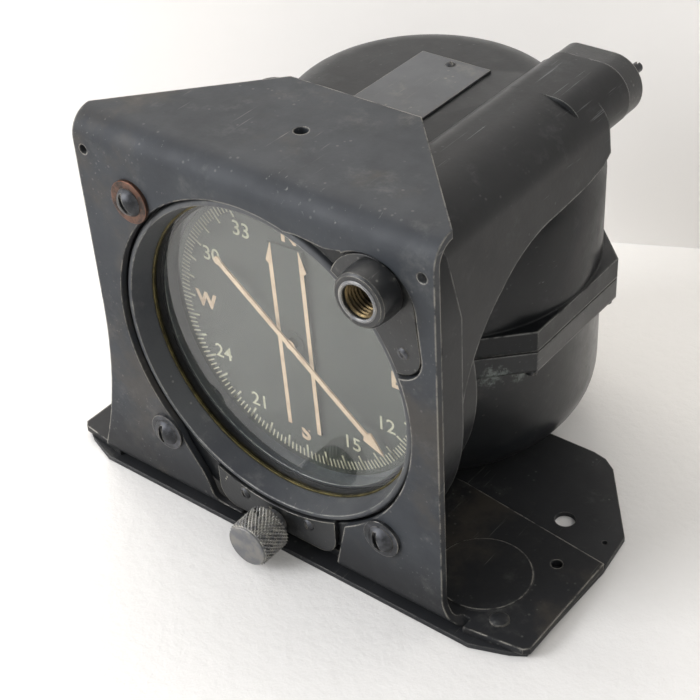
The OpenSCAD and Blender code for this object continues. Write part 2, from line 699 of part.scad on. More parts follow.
module set_knob() color("#5b5752") datum() difference() {
  union() {
    rod_y(knob_r, -knob_front + 0.5, knob_back, 0, axis_h - knob_drop);
    translate([0, -knob_front, axis_h - knob_drop]) rotate([-90, 0, 0])
      cylinder(r1 = knob_r - 0.5, r2 = knob_r, h = 0.5);
    rod_y(knob_hub_r, knob_back - 0.5, knob_plate_y - move_gap, 0, axis_h - knob_drop);
  }
  rod_y(knob_shaft_r + seat_clear, -knob_front + 2, knob_plate_y, 0, axis_h - knob_drop);
}

module knob_shaft() color("#9a9c9e") datum() {
  rod_y(knob_shaft_r, -knob_front + 2.2, gear_y + gear_t + 0.4, 0, axis_h - knob_drop);
  translate([0, 0, -knob_drop]) plate_y(gear_y, gear_y + gear_t)
    gear_outline(pinion_teeth, pinion_pitch, set_module, pinion_phase);
}

module knob_bush() color("#b09a5a") datum() difference() {
  rod_y(knob_bush_r, knob_plate_back, dial_back, 0, axis_h - knob_drop);
  rod_y(knob_shaft_r + run_clear, knob_plate_back - 1, dial_back + 1, 0, axis_h - knob_drop);
}

module knob_plate() color("#333436") datum() difference() {
  plate_y(knob_plate_y, knob_plate_back) difference() {
    knob_plate_outline(0);
    circle(bezel_r + 0.2);
    for (s = [-1, 1]) translate([s * plate_screw_x, -plate_screw_drop]) circle(1.1 + seat_clear);
  }
  rod_y(knob_shaft_r + run_clear, 0, knob_plate_back + 1, 0, axis_h - knob_drop);
}

module plate_screw() color("#5a5b5d") datum() for (s = [-1, 1])
  translate([s * plate_screw_x, knob_plate_y, axis_h - plate_screw_drop])
    slotted_screw(1.1 - seat_clear, 7, 1.9, 0.7, 65);

module lamp_socket() color("#3e3f41") datum() difference() {
  union() {
    plate_y(0.6, case_y0) difference() {
      lamp_lobe(cut_gap);
      circle(bezel_r + 0.2);
    }
    translate([lamp_x, lamp_front, axis_h + lamp_z]) rotate([-90, 0, 0]) {
      cylinder(r1 = lamp_r - 0.8, r2 = lamp_r - 0.3, h = 0.5);
      translate([0, 0, 0.5]) cylinder(r1 = lamp_r - 0.3, r2 = lamp_r, h = 2.5);
      translate([0, 0, 3]) cylinder(r = lamp_r, h = -lamp_front - 3.4);
      translate([0, 0, 3]) cylinder(r = lamp_neck_r, h = lamp_back - lamp_front - 3.3);
    }
  }
  rod_y(lamp_bore_r, lamp_front - 1, case_y0 + 1, lamp_x, axis_h + lamp_z);
  rod_y(1.1 + seat_clear, -1, case_y0 + 1, lamp_screw_x, axis_h + lamp_screw_z);
}

module lamp_screw() color("#5a5b5d") datum() translate([lamp_screw_x, 0.6, axis_h + lamp_screw_z])
  slotted_screw(1.1 - seat_clear, 6, 1.8, 0.6, 40);

module pointer() color("#e6cdb8") datum() difference() {
  union() {
    plate_y(pointer_y, pointer_y + pointer_t) rotate(-pointer_reading) {
      translate([-0.65, -pointer_tail]) square([1.3, pointer_tail + pointer_tip - 6]);
      translate([0, -pointer_tail]) circle(1);
      polygon([[-0.65, pointer_tip - 6.2], [-1.7, pointer_tip - 5.6], [0, pointer_tip],
        [1.7, pointer_tip - 5.6], [0.65, pointer_tip - 6.2]]);
    }
    rod_y(1.3, pointer_y + pointer_t - 0.1, quill_front - 0.3);
  }
  rod_y(shaft_r + seat_clear, pointer_y + pointer_t - 0.05, quill_front);
}

module pointer_shaft() color("#a9abad") datum()
  rod_y(shaft_r, pointer_y + pointer_t, miter_y + miter_face - 0.2);

module pointer_gear() color("#b09a5a") datum() difference() {
  union() {
    translate([0, miter_y, axis_h]) rotate([-90, 0, 0]) miter_gear(90);
    rod_y(3.4, miter_y - 3.6, miter_y + 0.1);
  }
  rod_y(shaft_r + seat_clear, miter_y - 5, miter_y + miter_face + 1);
}

module bearing_quill() color("#a08c50") datum() difference() {
  union() {
    rod_y(quill_r, quill_front, partition_y);
    rod_y(quill_back_r, partition_y, quill_end);
  }
  rod_y(shaft_r + run_clear, quill_front - 1, quill_end + 1);
  rod_y(shaft_r + 0.7, partition_y, quill_end - 6);
}

module lower_section(inset, top) {
  side = bowl_r - inset;
  round_r = bowl_round - inset;
  low = bowl_bottom + inset;
  polygon(concat([[0, top], [side, top]],
    [for (a = [0 : 6 : 90]) [side - round_r + round_r * cos(a), low + round_r - round_r * sin(a)]],
    [[0, low]]));
}

module lower_bowl() color("#38393a") datum() difference() {
  union() {
    translate([0, bowl_y, 0]) rotate_extrude() lower_section(0, joint_z - gasket_t);
    octagon(joint_z - gasket_t - flange_t, joint_z - gasket_t, flange_half);
  }
  difference() {
    translate([0, bowl_y, 0]) rotate_extrude() lower_section(bowl_wall, joint_z + 1);
    rod_z(bearing_r + 3, bowl_bottom, bowl_bottom + bowl_wall + 4);
  }
  rod_z(bearing_r + seat_clear, bowl_bottom + bowl_wall, bowl_bottom + bowl_wall + 9);
  at_bowl_screws() cylinder(r = bolt_r + seat_clear, h = axis_h);
}

module bowl_gasket() color("#2a2522") datum() difference() {
  octagon(joint_z - gasket_t, joint_z, flange_half - 0.3);
  rod_z(bowl_r - bowl_wall, joint_z - 2, joint_z + 2);
  at_bowl_screws() cylinder(r = bolt_r + seat_clear, h = axis_h);
}

module bowl_screw() color("#6a6c6e") datum() at_bowl_screws()
  translate([0, 0, joint_z - gasket_t - flange_t - bolt_head_h]) {
    cylinder(r = bolt_r, h = bolt_head_h + flange_t + gasket_t + flange_t - 1.4);
    difference() {
      cylinder(r = bolt_head_r, h = bolt_head_h);
      translate([-2, -0.2, -1]) cube([4, 0.4, 1.6]);
    }
  }

module float_bell() color("#b9b39a") datum() difference() {
  rod_z(float_r, float_top - float_h, float_top);
  rod_z(float_r - 1, float_top - float_h - 1, float_top - 1);
  rod_z(spindle_r + seat_clear, float_top - float_h, float_top + 1);
}

module magnet_yoke() color("#b09a5a") datum() difference() {
  union() {
    rod_z(float_r * 5 / 6, yoke_z, yoke_z + yoke_t);
    rod_z(3, yoke_z, float_top - 1.1);
  }
  rod_z(spindle_r + seat_clear, yoke_z - 1, float_top);
}

module magnet_bar() color("#6f7276") datum() for (s = [-1, 1])
  translate([s * float_r * 0.375 - magnet_s / 2, bowl_y - magnet_l / 2, yoke_z - magnet_s])
    cube([magnet_s, magnet_l, magnet_s]);

module float_spindle() color("#a9abad") datum() rod_z(spindle_r, spindle_low, spindle_high);

module float_gear() color("#b09a5a") datum() difference() {
  union() {
    translate([0, bowl_y, axis_h - miter_r]) miter_gear(-90 + 180 / miter_teeth);
    rod_z(3.4, axis_h - miter_r - 3.6, axis_h - miter_r + 0.1);
  }
  rod_z(spindle_r + seat_clear, axis_h - miter_r - 5, axis_h);
}

module upper_bearing() color("#a08c50") datum() difference() {
  rod_z(bearing_r, axis_h + 26, axis_h + 32.8);
  rod_z(spindle_r + run_clear, axis_h + 25, axis_h + 31.8);
}

module lower_bearing() color("#a08c50") datum() difference() {
  rod_z(bearing_r, bowl_bottom + bowl_wall, bowl_bottom + bowl_wall + 5);
  rod_z(spindle_r + run_clear, spindle_low - 0.1, bowl_bottom + bowl_wall + 6);
}

module name_plate() color("#6e6f70") datum() difference() {
  translate([-name_w / 2, plate_y0, axis_h + hood_top]) cube([name_w, plate_y1 - plate_y0, name_t]);
  for (y = [plate_y0 + 2.4, plate_y1 - 2.4]) translate([0, y, axis_h]) cylinder(r = 0.9 + seat_clear, h = 60);
}

module name_plate_screw() color("#7d7c76") datum() for (y = [plate_y0 + 2.4, plate_y1 - 2.4])
  translate([0, y, axis_h + hood_top + name_t]) rotate([-90, 0, 0]) slotted_screw(0.9, 3, 1.5, 0.6, 30);

module barrel_cap() color("#333436") datum() difference() {
  union() {
    plate_y(box_end_y, box_end_y + cap_t) neck_outline(0.15);
    for (s = [-1, 1])
      rod_y(comp_bore_r - seat_clear, box_end_y - 2, box_end_y + 1, comp_mid + s * comp_x, comp_z);
  }
  for (s = [-1, 1])
    rod_y(comp_r + run_clear, box_end_y - 3, box_end_y + cap_t + 1, comp_mid + s * comp_x, comp_z);
}

// Adjuster spindle with a slotted end, on the left or the right of the box.
module comp_spindle(s) difference() {
  rod_y(comp_r, bore_y - 3.6, box_end_y + cap_t + 7, comp_mid + s * comp_x, comp_z);
  translate([comp_mid + s * comp_x - 0.25, box_end_y + cap_t + 6, comp_z - 2]) cube([0.5, 2, 4]);
}

module comp_magnet(s) difference() {
  rod_y(comp_magnet_r, bore_y + 6, bore_y + 30, comp_mid + s * comp_x, comp_z);
  rod_y(comp_r + seat_clear, bore_y, bore_y + 40, comp_mid + s * comp_x, comp_z);
}

module compensator_a() color("#a08a4e") datum() comp_spindle(1);
module compensator_b() color("#a08a4e") datum() comp_spindle(-1);
module compensator_magnet_a() color("#6f7276") datum() comp_magnet(1);
module compensator_magnet_b() color("#6f7276") datum() comp_magnet(-1);

module filler_plug() color("#4c4d4f") datum() difference() {
  union() {
    rod_y(3.4, bowl_y + bowl_r - 3.6, bowl_y + bowl_r, 0, axis_h + 9);
    rod_y(5.2, bowl_y + bowl_r - 0.8, bowl_y + bowl_r + 0.3, 0, axis_h + 9);
  }
  translate([-6, bowl_y + bowl_r - 0.2, axis_h + 8.6]) cube([12, 1, 0.8]);
}

bracket();
base_plate();
base_rivet();
panel_screw();
panel_washer();
copper_washer();
case_body();
bezel_ring();
retaining_ring();
cover_glass();
glass_gasket();
distance_ring();
dial_plate();
course_bar();
course_gear();
idler_gear();
idler_stud();
set_knob();
knob_shaft();
knob_bush();
knob_plate();
plate_screw();
lamp_socket();
lamp_screw();
pointer();
pointer_shaft();
pointer_gear();
bearing_quill();
lower_bowl();
bowl_gasket();
bowl_screw();
float_bell();
magnet_yoke();
magnet_bar();
float_spindle();
float_gear();
upper_bearing();
lower_bearing();
name_plate();
name_plate_screw();
barrel_cap();
compensator_a();
compensator_b();
compensator_magnet_a();
compensator_magnet_b();
filler_plug();
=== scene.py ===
"""Looks of a vertical-dial aircraft compass: worn sheet bracket, black casting, glazed dial and knurled knob.

Sizes are millimetres, or metres where a name ends in _m. X runs to the right as the dial is read, Y back from
the panel's front face and Z up from the dial axis; place() turns them into metres in the row frame.
"""
import logging
import math
from dataclasses import dataclass, field
from enum import Enum
from functools import cached_property
from typing import Optional, Sequence, Union

import bpy
from mathutils import Matrix, Vector


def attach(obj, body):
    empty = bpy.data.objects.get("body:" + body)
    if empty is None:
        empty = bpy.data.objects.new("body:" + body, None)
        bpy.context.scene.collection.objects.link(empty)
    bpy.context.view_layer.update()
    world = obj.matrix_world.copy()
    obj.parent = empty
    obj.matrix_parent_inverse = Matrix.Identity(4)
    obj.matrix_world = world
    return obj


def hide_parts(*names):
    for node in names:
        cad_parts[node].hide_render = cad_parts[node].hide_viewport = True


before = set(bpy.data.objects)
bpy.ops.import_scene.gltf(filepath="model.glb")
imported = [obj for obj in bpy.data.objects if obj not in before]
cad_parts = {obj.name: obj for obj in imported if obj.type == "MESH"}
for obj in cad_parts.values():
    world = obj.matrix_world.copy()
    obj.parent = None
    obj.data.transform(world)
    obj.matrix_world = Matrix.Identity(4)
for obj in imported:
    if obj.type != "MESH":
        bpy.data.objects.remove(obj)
LOG = logging.getLogger("compass")
Socket = bpy.types.NodeSocket
Material = bpy.types.Material
Piece = bpy.types.Object
MM = 0.001
MM_PER_M = 1000
# place of the panel's front face and of the dial axis in the row frame
PANEL_Y = -46.6
AXIS_Z = 50.5
# points closer than this are merged, in a copy of a CAD node and in a new mesh
WELD_CAD_M = 1e-6
WELD_M = 1e-7
# radius of a new circle, before its corners are put in their places
START_R_M = 0.01
# an edge of a CAD node stays sharp above this angle
CAD_SHARP_DEG = 32
# settings of nodes that the finishes use again and again
TIMES = {"operation": "MULTIPLY"}
SUM = {"operation": "ADD", "use_clamp": True}
SMOOTH = {"interpolation_type": "SMOOTHSTEP"}


class Body(Enum):
    """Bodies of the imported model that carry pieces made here."""
    HOUSING = "housing"
    COURSE = "course"
    KNOB = "knob"
    POINTER = "pointer"
    COMP_A = "compensator_a"
    COMP_B = "compensator_b"


def place(x: float, y: float, z: float) -> Vector:
    """Row-frame point in metres.

    Args:
        x, y, z: millimetres right, behind the panel face and above the dial axis.

    Returns:
        The same point in metres, with the origin under the middle of the base.
    """
    return Vector((x * MM, (y + PANEL_Y) * MM, (z + AXIS_Z) * MM))


def linear(hex_colour: str) -> tuple[float, float, float, float]:
    """Linear RGBA of an sRGB hex value.

    Args:
        hex_colour: six hex digits with a leading hash.

    Returns:
        Red, green, blue and an alpha of 1.
    """
    parts = [int(hex_colour[i:i + 2], 16) / 255 for i in (1, 3, 5)]
    red, green, blue = (c / 12.92 if c <= 0.04045 else ((c + 0.055) / 1.055) ** 2.4 for c in parts)
    return red, green, blue, 1.0


def feed(node: bpy.types.Node, inputs: dict) -> None:
    """Gives a node's inputs their values or links.

    Args:
        node: the node.
        inputs: socket name or index to a value or to the socket that feeds it.
    """
    for key, value in inputs.items():
        if isinstance(value, Socket):
            node.id_data.links.new(value, node.inputs[key])
        else:
            node.inputs[key].default_value = value


@dataclass
class Recipe:
    """Nodes of a material or of the world under way."""
    owner: Union[Material, bpy.types.World]

    def __post_init__(self) -> None:
        """Turns the nodes on."""
        self.owner.use_nodes = True

    @cached_property
    def where(self) -> Socket:
        """The piece's own coordinates, in metres."""
        return self.add("TexCoord", out="Object")

    def add(self, kind: str, inputs: Optional[dict] = None, out: Union[int, str] = 0, **settings) -> Socket:
        """Adds one node with its settings, values and links.

        Args:
            kind: node type without the ShaderNode prefix.
            inputs: socket name or index to a value or to the socket that feeds it.
            out: name or index of the output that is wanted.
            settings: node properties.

        Returns:
            The wanted output.
        """
        node = self.owner.node_tree.nodes.new("ShaderNode" + kind)
        for key, value in settings.items():
            setattr(node, key, value)
        feed(node, inputs or {})
        return node.outputs[out]

    def lay_over(self, under: Union[str, Socket], over: Union[str, Socket], mask: Socket,
                 strength: float = 1.0) -> Socket:
        """Lays one colour over another where a mask says so.

        Args:
            under, over: sRGB hex colours or sockets.
            mask: 0 where the first stays and 1 where the second covers it.
            strength: share of the mask that counts.

        Returns:
            The colour.
        """
        if strength != 1.0:
            mask = self.add("Math", {0: mask, 1: strength}, **TIMES)
        first, second = (linear(tone) if isinstance(tone, str) else tone for tone in (under, over))
        return self.add("Mix", {0: mask, 6: first, 7: second}, out=2, data_type="RGBA")

    def finished(self, inputs: dict) -> Material:
        """Feeds the main shader and gives the material."""
        feed(self.owner.node_tree.nodes["Principled BSDF"], inputs)
        return self.owner


@dataclass(frozen=True)
class Mottle:
    """Random pattern of a real size, as a level or as soft-edged patches.

    size_mm is the width of its blobs, detail counts the finer octaves and rough is their weight. A patch
    begins at the level low and is full at high. It lies on the piece's coordinates unless where is given.
    """
    size_mm: float
    detail: float = 3
    rough: float = 0.55
    low: float = 0.4
    high: float = 0.6

    def level(self, mix: Recipe, where: Optional[Socket] = None) -> Socket:
        """Level of the plain pattern, about 0.5 on average."""
        return mix.add("TexNoise", {"Vector": where or mix.where, "Scale": MM_PER_M / self.size_mm,
                                    "Detail": self.detail, "Roughness": self.rough})

    def patches(self, mix: Recipe, where: Optional[Socket] = None) -> Socket:
        """Mask of the pattern's patches, 1 inside them."""
        return mix.add("MapRange", {0: self.level(mix, where), 1: self.low, 2: self.high}, **SMOOTH)


@dataclass(frozen=True)
class RubbedEdge:
    """Wear along edges, found where the rounded normal leaves the face's own.

    The wear begins where the two agree less than start and is full at full; breaks interrupts it.
    """
    radius_mm: float
    samples: int
    full: float
    breaks: Mottle
    start: float = 0.985

    def normal_and_mask(self, mix: Recipe) -> tuple[Socket, Socket]:
        """Adds the wear to a material.

        Args:
            mix: the material under way.

        Returns:
            The rounded normal and the mask of the wear.
        """
        rounded = mix.add("Bevel", {"Radius": self.radius_mm * MM}, samples=self.samples)
        face = mix.add("NewGeometry", out="Normal")
        agree = mix.add("VectorMath", {0: rounded, 1: face}, out="Value", operation="DOT_PRODUCT")
        edge = mix.add("MapRange", {0: agree, 1: self.start, 2: self.full}, **SMOOTH)
        return rounded, mix.add("Math", {0: edge, 1: self.breaks.patches(mix)}, **TIMES)


@dataclass(frozen=True)
class WornPaint:
    """Old paint on metal: two tones, stains, scratches, dusty pits, chips, and edges rubbed to the metal.

    shaded_low_coat is a darker tone below shade_heights_mm (low, high), heights above the base: partly a
    darker paint and partly painted shade on the low parts. blooms are spots of white-green corrosion, each
    with its x, y, z and radius. sheen is the strength of the reflection, and gloss adds a smooth clear coat
    over it.
    """
    name: str
    coat: str
    patch: str
    bare: str
    rough: float = 0.5
    edge_mm: float = 0.5
    edge_wear: float = 0.8
    chip_level: float = 0.7
    grain_mm: float = 0.7
    grain: float = 0.25
    dust: str = "#8a8983"
    dust_amount: float = 0.35
    scratch: float = 0.35
    stain: str = "#4a4339"
    stain_amount: float = 0.0
    # darker tone low on the piece, partly paint and partly painted shade, and the heights where it gives way
    shaded_low_coat: str = ""
    shade_heights_mm: tuple[float, float] = (5.0, 22.0)
    blooms: tuple[tuple[float, float, float, float], ...] = ()
    sheen: float = 0.5
    gloss: float = 0.0

    # what all such paints share: patterns, then sizes and strengths
    tones = Mottle(22, 5, 0.6, 0.36, 0.64)
    stains = Mottle(26, 6, 0.65, 0.52, 0.68)
    scratch_lines = Mottle(0.9, 3, 0.7, 0.66, 0.73)
    scratch_fields = Mottle(16, 2, low=0.48, high=0.6)
    scratch_turns = ((0.5, 0.35, 0.8), (0.2, 1.1, -0.6))
    scratch_draw = (1, 0.03, 1)
    pit_fields = Mottle(11, 2, low=0.5, high=0.62)
    pit_apart_mm = 2.1
    pit_rim, pit_floor = 0.19, 0.09
    pit_dust, pit_depth = 0.9, 0.6
    film = Mottle(10, 7, 0.72, 0.54, 0.8)
    bloom_colour = "#7f8883"
    bloom_grain = Mottle(1.5, 8, 0.8)
    bloom_core, bloom_rim, bloom_cover = 0.2, 0.5, 0.55
    bloom_pull, bloom_ragged = 0.2, 0.8
    crust_low, crust_high = 0.53, 0.66
    rub_breaks = Mottle(4, 5, 0.7, 0.36, 0.56)
    rub_full = 0.86
    shelter_mm, sheltered, exposed = 3, 0.7, 0.92
    chip_mm, chip_soft = 7, 0.03
    bare_metal = 0.7
    coat_rough = 0.26
    polish = Mottle(6, 5, 0.65)
    polish_down, polish_up = 0.14, 0.16
    bump_mm = 0.12

    def scratches(self, mix: Recipe, turn: tuple[float, float, float]) -> Socket:
        """Thin scratches, from a pattern drawn out along one direction and broken up in patches.

        Args:
            mix: the material under way.
            turn: direction of the scratches as a rotation.

        Returns:
            Scratch mask.
        """
        drawn = mix.add("Mapping", {"Vector": mix.where, "Rotation": turn, "Scale": self.scratch_draw})
        lines = self.scratch_lines.patches(mix, drawn)
        return mix.add("Math", {0: lines, 1: self.scratch_fields.patches(mix)}, **TIMES)

    def aged_and_shaded_coat(self, mix: Recipe) -> Socket:
        """Two tones of paint, the darker low coat (partly painted shade), stains and scratches.

        Args:
            mix: the material under way.

        Returns:
            The colour.
        """
        colour = mix.lay_over(self.coat, self.patch, self.tones.patches(mix))
        # painted shade, partly a darker paint: the coat darkens toward the base below the given heights;
        # faded is the share of the upper coat
        if self.shaded_low_coat:
            height_m = mix.add("SeparateXYZ", {0: mix.where}, out=2)
            low, high = (height * MM for height in self.shade_heights_mm)
            faded = mix.add("MapRange", {0: height_m, 1: low, 2: high}, **SMOOTH)
            colour = mix.lay_over(self.shaded_low_coat, colour, faded)
        if self.stain_amount:
            colour = mix.lay_over(colour, self.stain, self.stains.patches(mix), self.stain_amount)
        first, second = (self.scratches(mix, turn) for turn in self.scratch_turns)
        lines = mix.add("Math", {0: first, 1: second}, **SUM)
        return mix.lay_over(colour, self.dust, lines, self.scratch)

    def pits(self, mix: Recipe) -> Socket:
        """Pinhole pits about 2 mm apart, in patches.

        Args:
            mix: the material under way.

        Returns:
            Pit mask.
        """
        away = mix.add("TexVoronoi", {"Vector": mix.where, "Scale": MM_PER_M / self.pit_apart_mm,
                                      "Randomness": 1.0}, out="Distance")
        hole = mix.add("MapRange", {0: away, 1: self.pit_rim, 2: self.pit_floor}, **SMOOTH)
        return mix.add("Math", {0: hole, 1: self.pit_fields.patches(mix)}, **TIMES)

    def bloomed(self, mix: Recipe, colour: Socket, bloom: tuple[float, float, float, float]) -> Socket:
        """One ragged spot of corrosion over the paint.

        Args:
            mix: the material under way.
            colour: the paint.
            bloom: x, y, z and radius of the spot.

        Returns:
            The colour with the spot.
        """
        *middle, radius = bloom
        away = mix.add("VectorMath", {0: mix.where, 1: place(*middle)}, out="Value", operation="DISTANCE")
        spot = mix.add("MapRange", {0: away, 1: radius * MM, 2: self.bloom_core * radius * MM}, **SMOOTH)
        near = mix.add("Math", {0: spot, 1: self.bloom_pull}, **TIMES)
        grainy = mix.add("Math", {0: self.bloom_grain.level(mix), 1: self.bloom_ragged}, **TIMES)
        ragged = mix.add("Math", {0: near, 1: grainy}, **SUM)
        crust = mix.add("MapRange", {0: ragged, 1: self.crust_low, 2: self.crust_high}, **SMOOTH)
        inside = mix.add("MapRange", {0: spot, 1: 0.0, 2: self.bloom_rim}, **SMOOTH)
        crust = mix.add("Math", {0: crust, 1: inside}, **TIMES)
        return mix.lay_over(colour, self.bloom_colour, crust, self.bloom_cover)

    def material(self) -> Material:
        """Builds the paint.

        Returns:
            The material.
        """
        mix = Recipe(bpy.data.materials.new(self.name))
        pit = self.pits(mix)
        in_pits = mix.add("Math", {0: pit, 1: self.pit_dust * self.dust_amount}, **TIMES)
        film = mix.add("Math", {0: self.film.patches(mix), 1: self.dust_amount}, **TIMES)
        dusty = mix.add("Math", {0: in_pits, 1: film}, **SUM)
        colour = mix.lay_over(self.aged_and_shaded_coat(mix), self.dust, dusty)
        for bloom in self.blooms:
            colour = self.bloomed(mix, colour, bloom)
        edge = RubbedEdge(self.edge_mm, samples=6, full=self.rub_full, breaks=self.rub_breaks)
        round_normal, rub = edge.normal_and_mask(mix)
        air = mix.add("AmbientOcclusion", {"Distance": self.shelter_mm * MM}, out="AO", samples=4)
        reached = mix.add("MapRange", {0: air, 1: self.sheltered, 2: self.exposed}, **SMOOTH)
        rub = mix.add("Math", {0: rub, 1: reached}, **TIMES)
        rub = mix.add("Math", {0: rub, 1: self.edge_wear}, **TIMES)
        chips = Mottle(self.chip_mm, 8, 0.75, self.chip_level, self.chip_level + self.chip_soft)
        chip = chips.patches(mix)
        bared = mix.add("Math", {0: rub, 1: chip}, **SUM)
        sunk = mix.add("Math", {0: pit, 1: self.pit_depth}, **TIMES)
        sunk = mix.add("Math", {0: chip, 1: sunk}, **SUM)
        grain = Mottle(self.grain_mm, 4, 0.6).level(mix)
        height = mix.add("Math", {0: grain, 1: sunk}, operation="SUBTRACT")
        return mix.finished({
            "Base Color": mix.lay_over(colour, self.bare, bared),
            "Metallic": mix.add("Math", {0: bared, 1: self.bare_metal}, **TIMES),
            "Specular IOR Level": self.sheen,
            "Coat Weight": self.gloss,
            "Coat Roughness": self.coat_rough,
            "Coat Normal": round_normal,
            "Roughness": mix.add("MapRange", {0: self.polish.level(mix), 3: self.rough - self.polish_down,
                                              4: self.rough + self.polish_up}),
            "Normal": mix.add("Bump", {"Strength": self.grain, "Distance": self.bump_mm * MM,
                                       "Height": height, "Normal": round_normal}),
        })


@dataclass(frozen=True)
class TurnedMetal:
    """Bare or plated metal with a fine tool grain, tarnish in patches and brighter edges."""
    name: str
    colour: str
    tarnish: str
    rough: float = 0.35
    metallic: float = 1.0
    grain_mm: float = 0.25
    edge: str = "#9a9890"
    edge_mm: float = 0.3
    tarnish_mm: float = 3.0

    # what all such metals share
    rub_breaks = Mottle(1.5, 3, low=0.35, high=0.6)
    rub_full, rub_bright = 0.88, 0.7
    polish_down, polish_up = 0.06, 0.18
    bump, bump_mm = 0.2, 0.05

    def material(self) -> Material:
        """Builds the metal.

        Returns:
            The material.
        """
        mix = Recipe(bpy.data.materials.new(self.name))
        patch = Mottle(self.tarnish_mm, 5, 0.65, 0.4, 0.65).patches(mix)
        colour = mix.lay_over(self.colour, self.tarnish, patch)
        edge = RubbedEdge(self.edge_mm, samples=4, full=self.rub_full, breaks=self.rub_breaks)
        round_normal, rub = edge.normal_and_mask(mix)
        return mix.finished({
            "Base Color": mix.lay_over(colour, self.edge, rub, self.rub_bright),
            "Metallic": self.metallic,
            "Roughness": mix.add("MapRange", {0: patch, 3: self.rough - self.polish_down,
                                              4: self.rough + self.polish_up}),
            "Normal": mix.add("Bump", {"Strength": self.bump, "Distance": self.bump_mm * MM,
                                       "Normal": round_normal, "Height": Mottle(self.grain_mm).level(mix)}),
        })


def stippled(mix: Recipe, grain: Mottle, strength: float, depth_mm: float) -> Socket:
    """Normal of a slightly uneven coat, whose grains are depth_mm high."""
    return mix.add("Bump", {"Strength": strength, "Distance": depth_mm * MM, "Height": grain.level(mix)})


@dataclass(frozen=True)
class LuminousPaint:
    """Thick aged luminous paint: chalky, grainy, a little stained."""
    name: str
    fresh: str
    aged: str
    rough: float = 0.8
    stains: Mottle = Mottle(2.2, 5, 0.65, 0.42, 0.68)
    grain: Mottle = Mottle(0.3)

    def material(self) -> Material:
        """Builds the paint.

        Returns:
            The material.
        """
        mix = Recipe(bpy.data.materials.new(self.name))
        return mix.finished({
            "Base Color": mix.lay_over(self.fresh, self.aged, self.stains.patches(mix)),
            "Roughness": self.rough,
            "Normal": stippled(mix, self.grain, strength=0.3, depth_mm=0.05),
        })


@dataclass(frozen=True)
class DialPaint:
    """Matt black dial paint, clouded where it has faded and specked with dust."""
    name: str
    black: str
    faded: str
    dust: str = "#8a8678"
    rough: float = 0.75
    clouds: Mottle = Mottle(12, 6, 0.6, 0.35, 0.75)
    grain: Mottle = Mottle(0.4)
    speck_apart_mm: float = 3.2
    speck_rim: float = 0.07
    speck_core: float = 0.03
    speck_cover: float = 0.5

    def material(self) -> Material:
        """Builds the paint.

        Returns:
            The material.
        """
        mix = Recipe(bpy.data.materials.new(self.name))
        away = mix.add("TexVoronoi", {"Vector": mix.where, "Scale": MM_PER_M / self.speck_apart_mm},
                       out="Distance")
        speck = mix.add("MapRange", {0: away, 1: self.speck_rim, 2: self.speck_core}, **SMOOTH)
        colour = mix.lay_over(self.black, self.faded, self.clouds.patches(mix))
        return mix.finished({
            "Base Color": mix.lay_over(colour, self.dust, speck, self.speck_cover),
            "Roughness": self.rough,
            "Normal": stippled(mix, self.grain, strength=0.15, depth_mm=0.05),
        })


@dataclass(frozen=True)
class PlateGlass:
    """Flat cover glass: it mirrors the room like glass but, being thin, does not shift what is behind it.

    A faint film of dust dulls the mirror in patches, up to film_rough.
    """
    name: str
    tint: str
    body_ior: float = 1.01
    mirror_ior: float = 1.6
    film: Mottle = Mottle(9, 5, 0.65)
    film_rough: float = 0.06

    def material(self) -> Material:
        """Builds the glass.

        Returns:
            The material.
        """
        mix = Recipe(bpy.data.materials.new(self.name))
        return mix.finished({
            "Base Color": linear(self.tint),
            "Transmission Weight": 1.0,
            "IOR": self.body_ior,
            "Roughness": 0.0,
            "Coat Weight": 1.0,
            "Coat IOR": self.mirror_ior,
            "Coat Roughness": mix.add("MapRange", {0: self.film.level(mix), 3: 0.0, 4: self.film_rough}),
        })


@dataclass(frozen=True)
class GasketRubber:
    """Old black rubber, dull and slightly grey with bloom."""
    name: str
    black: str
    bloom: str
    rough: float = 0.7
    bloom_patches: Mottle = Mottle(4, 5, 0.65, 0.45, 0.7)

    def material(self) -> Material:
        """Builds the rubber.

        Returns:
            The material.
        """
        mix = Recipe(bpy.data.materials.new(self.name))
        return mix.finished({
            "Base Color": mix.lay_over(self.black, self.bloom, self.bloom_patches.patches(mix)),
            "Roughness": self.rough,
        })


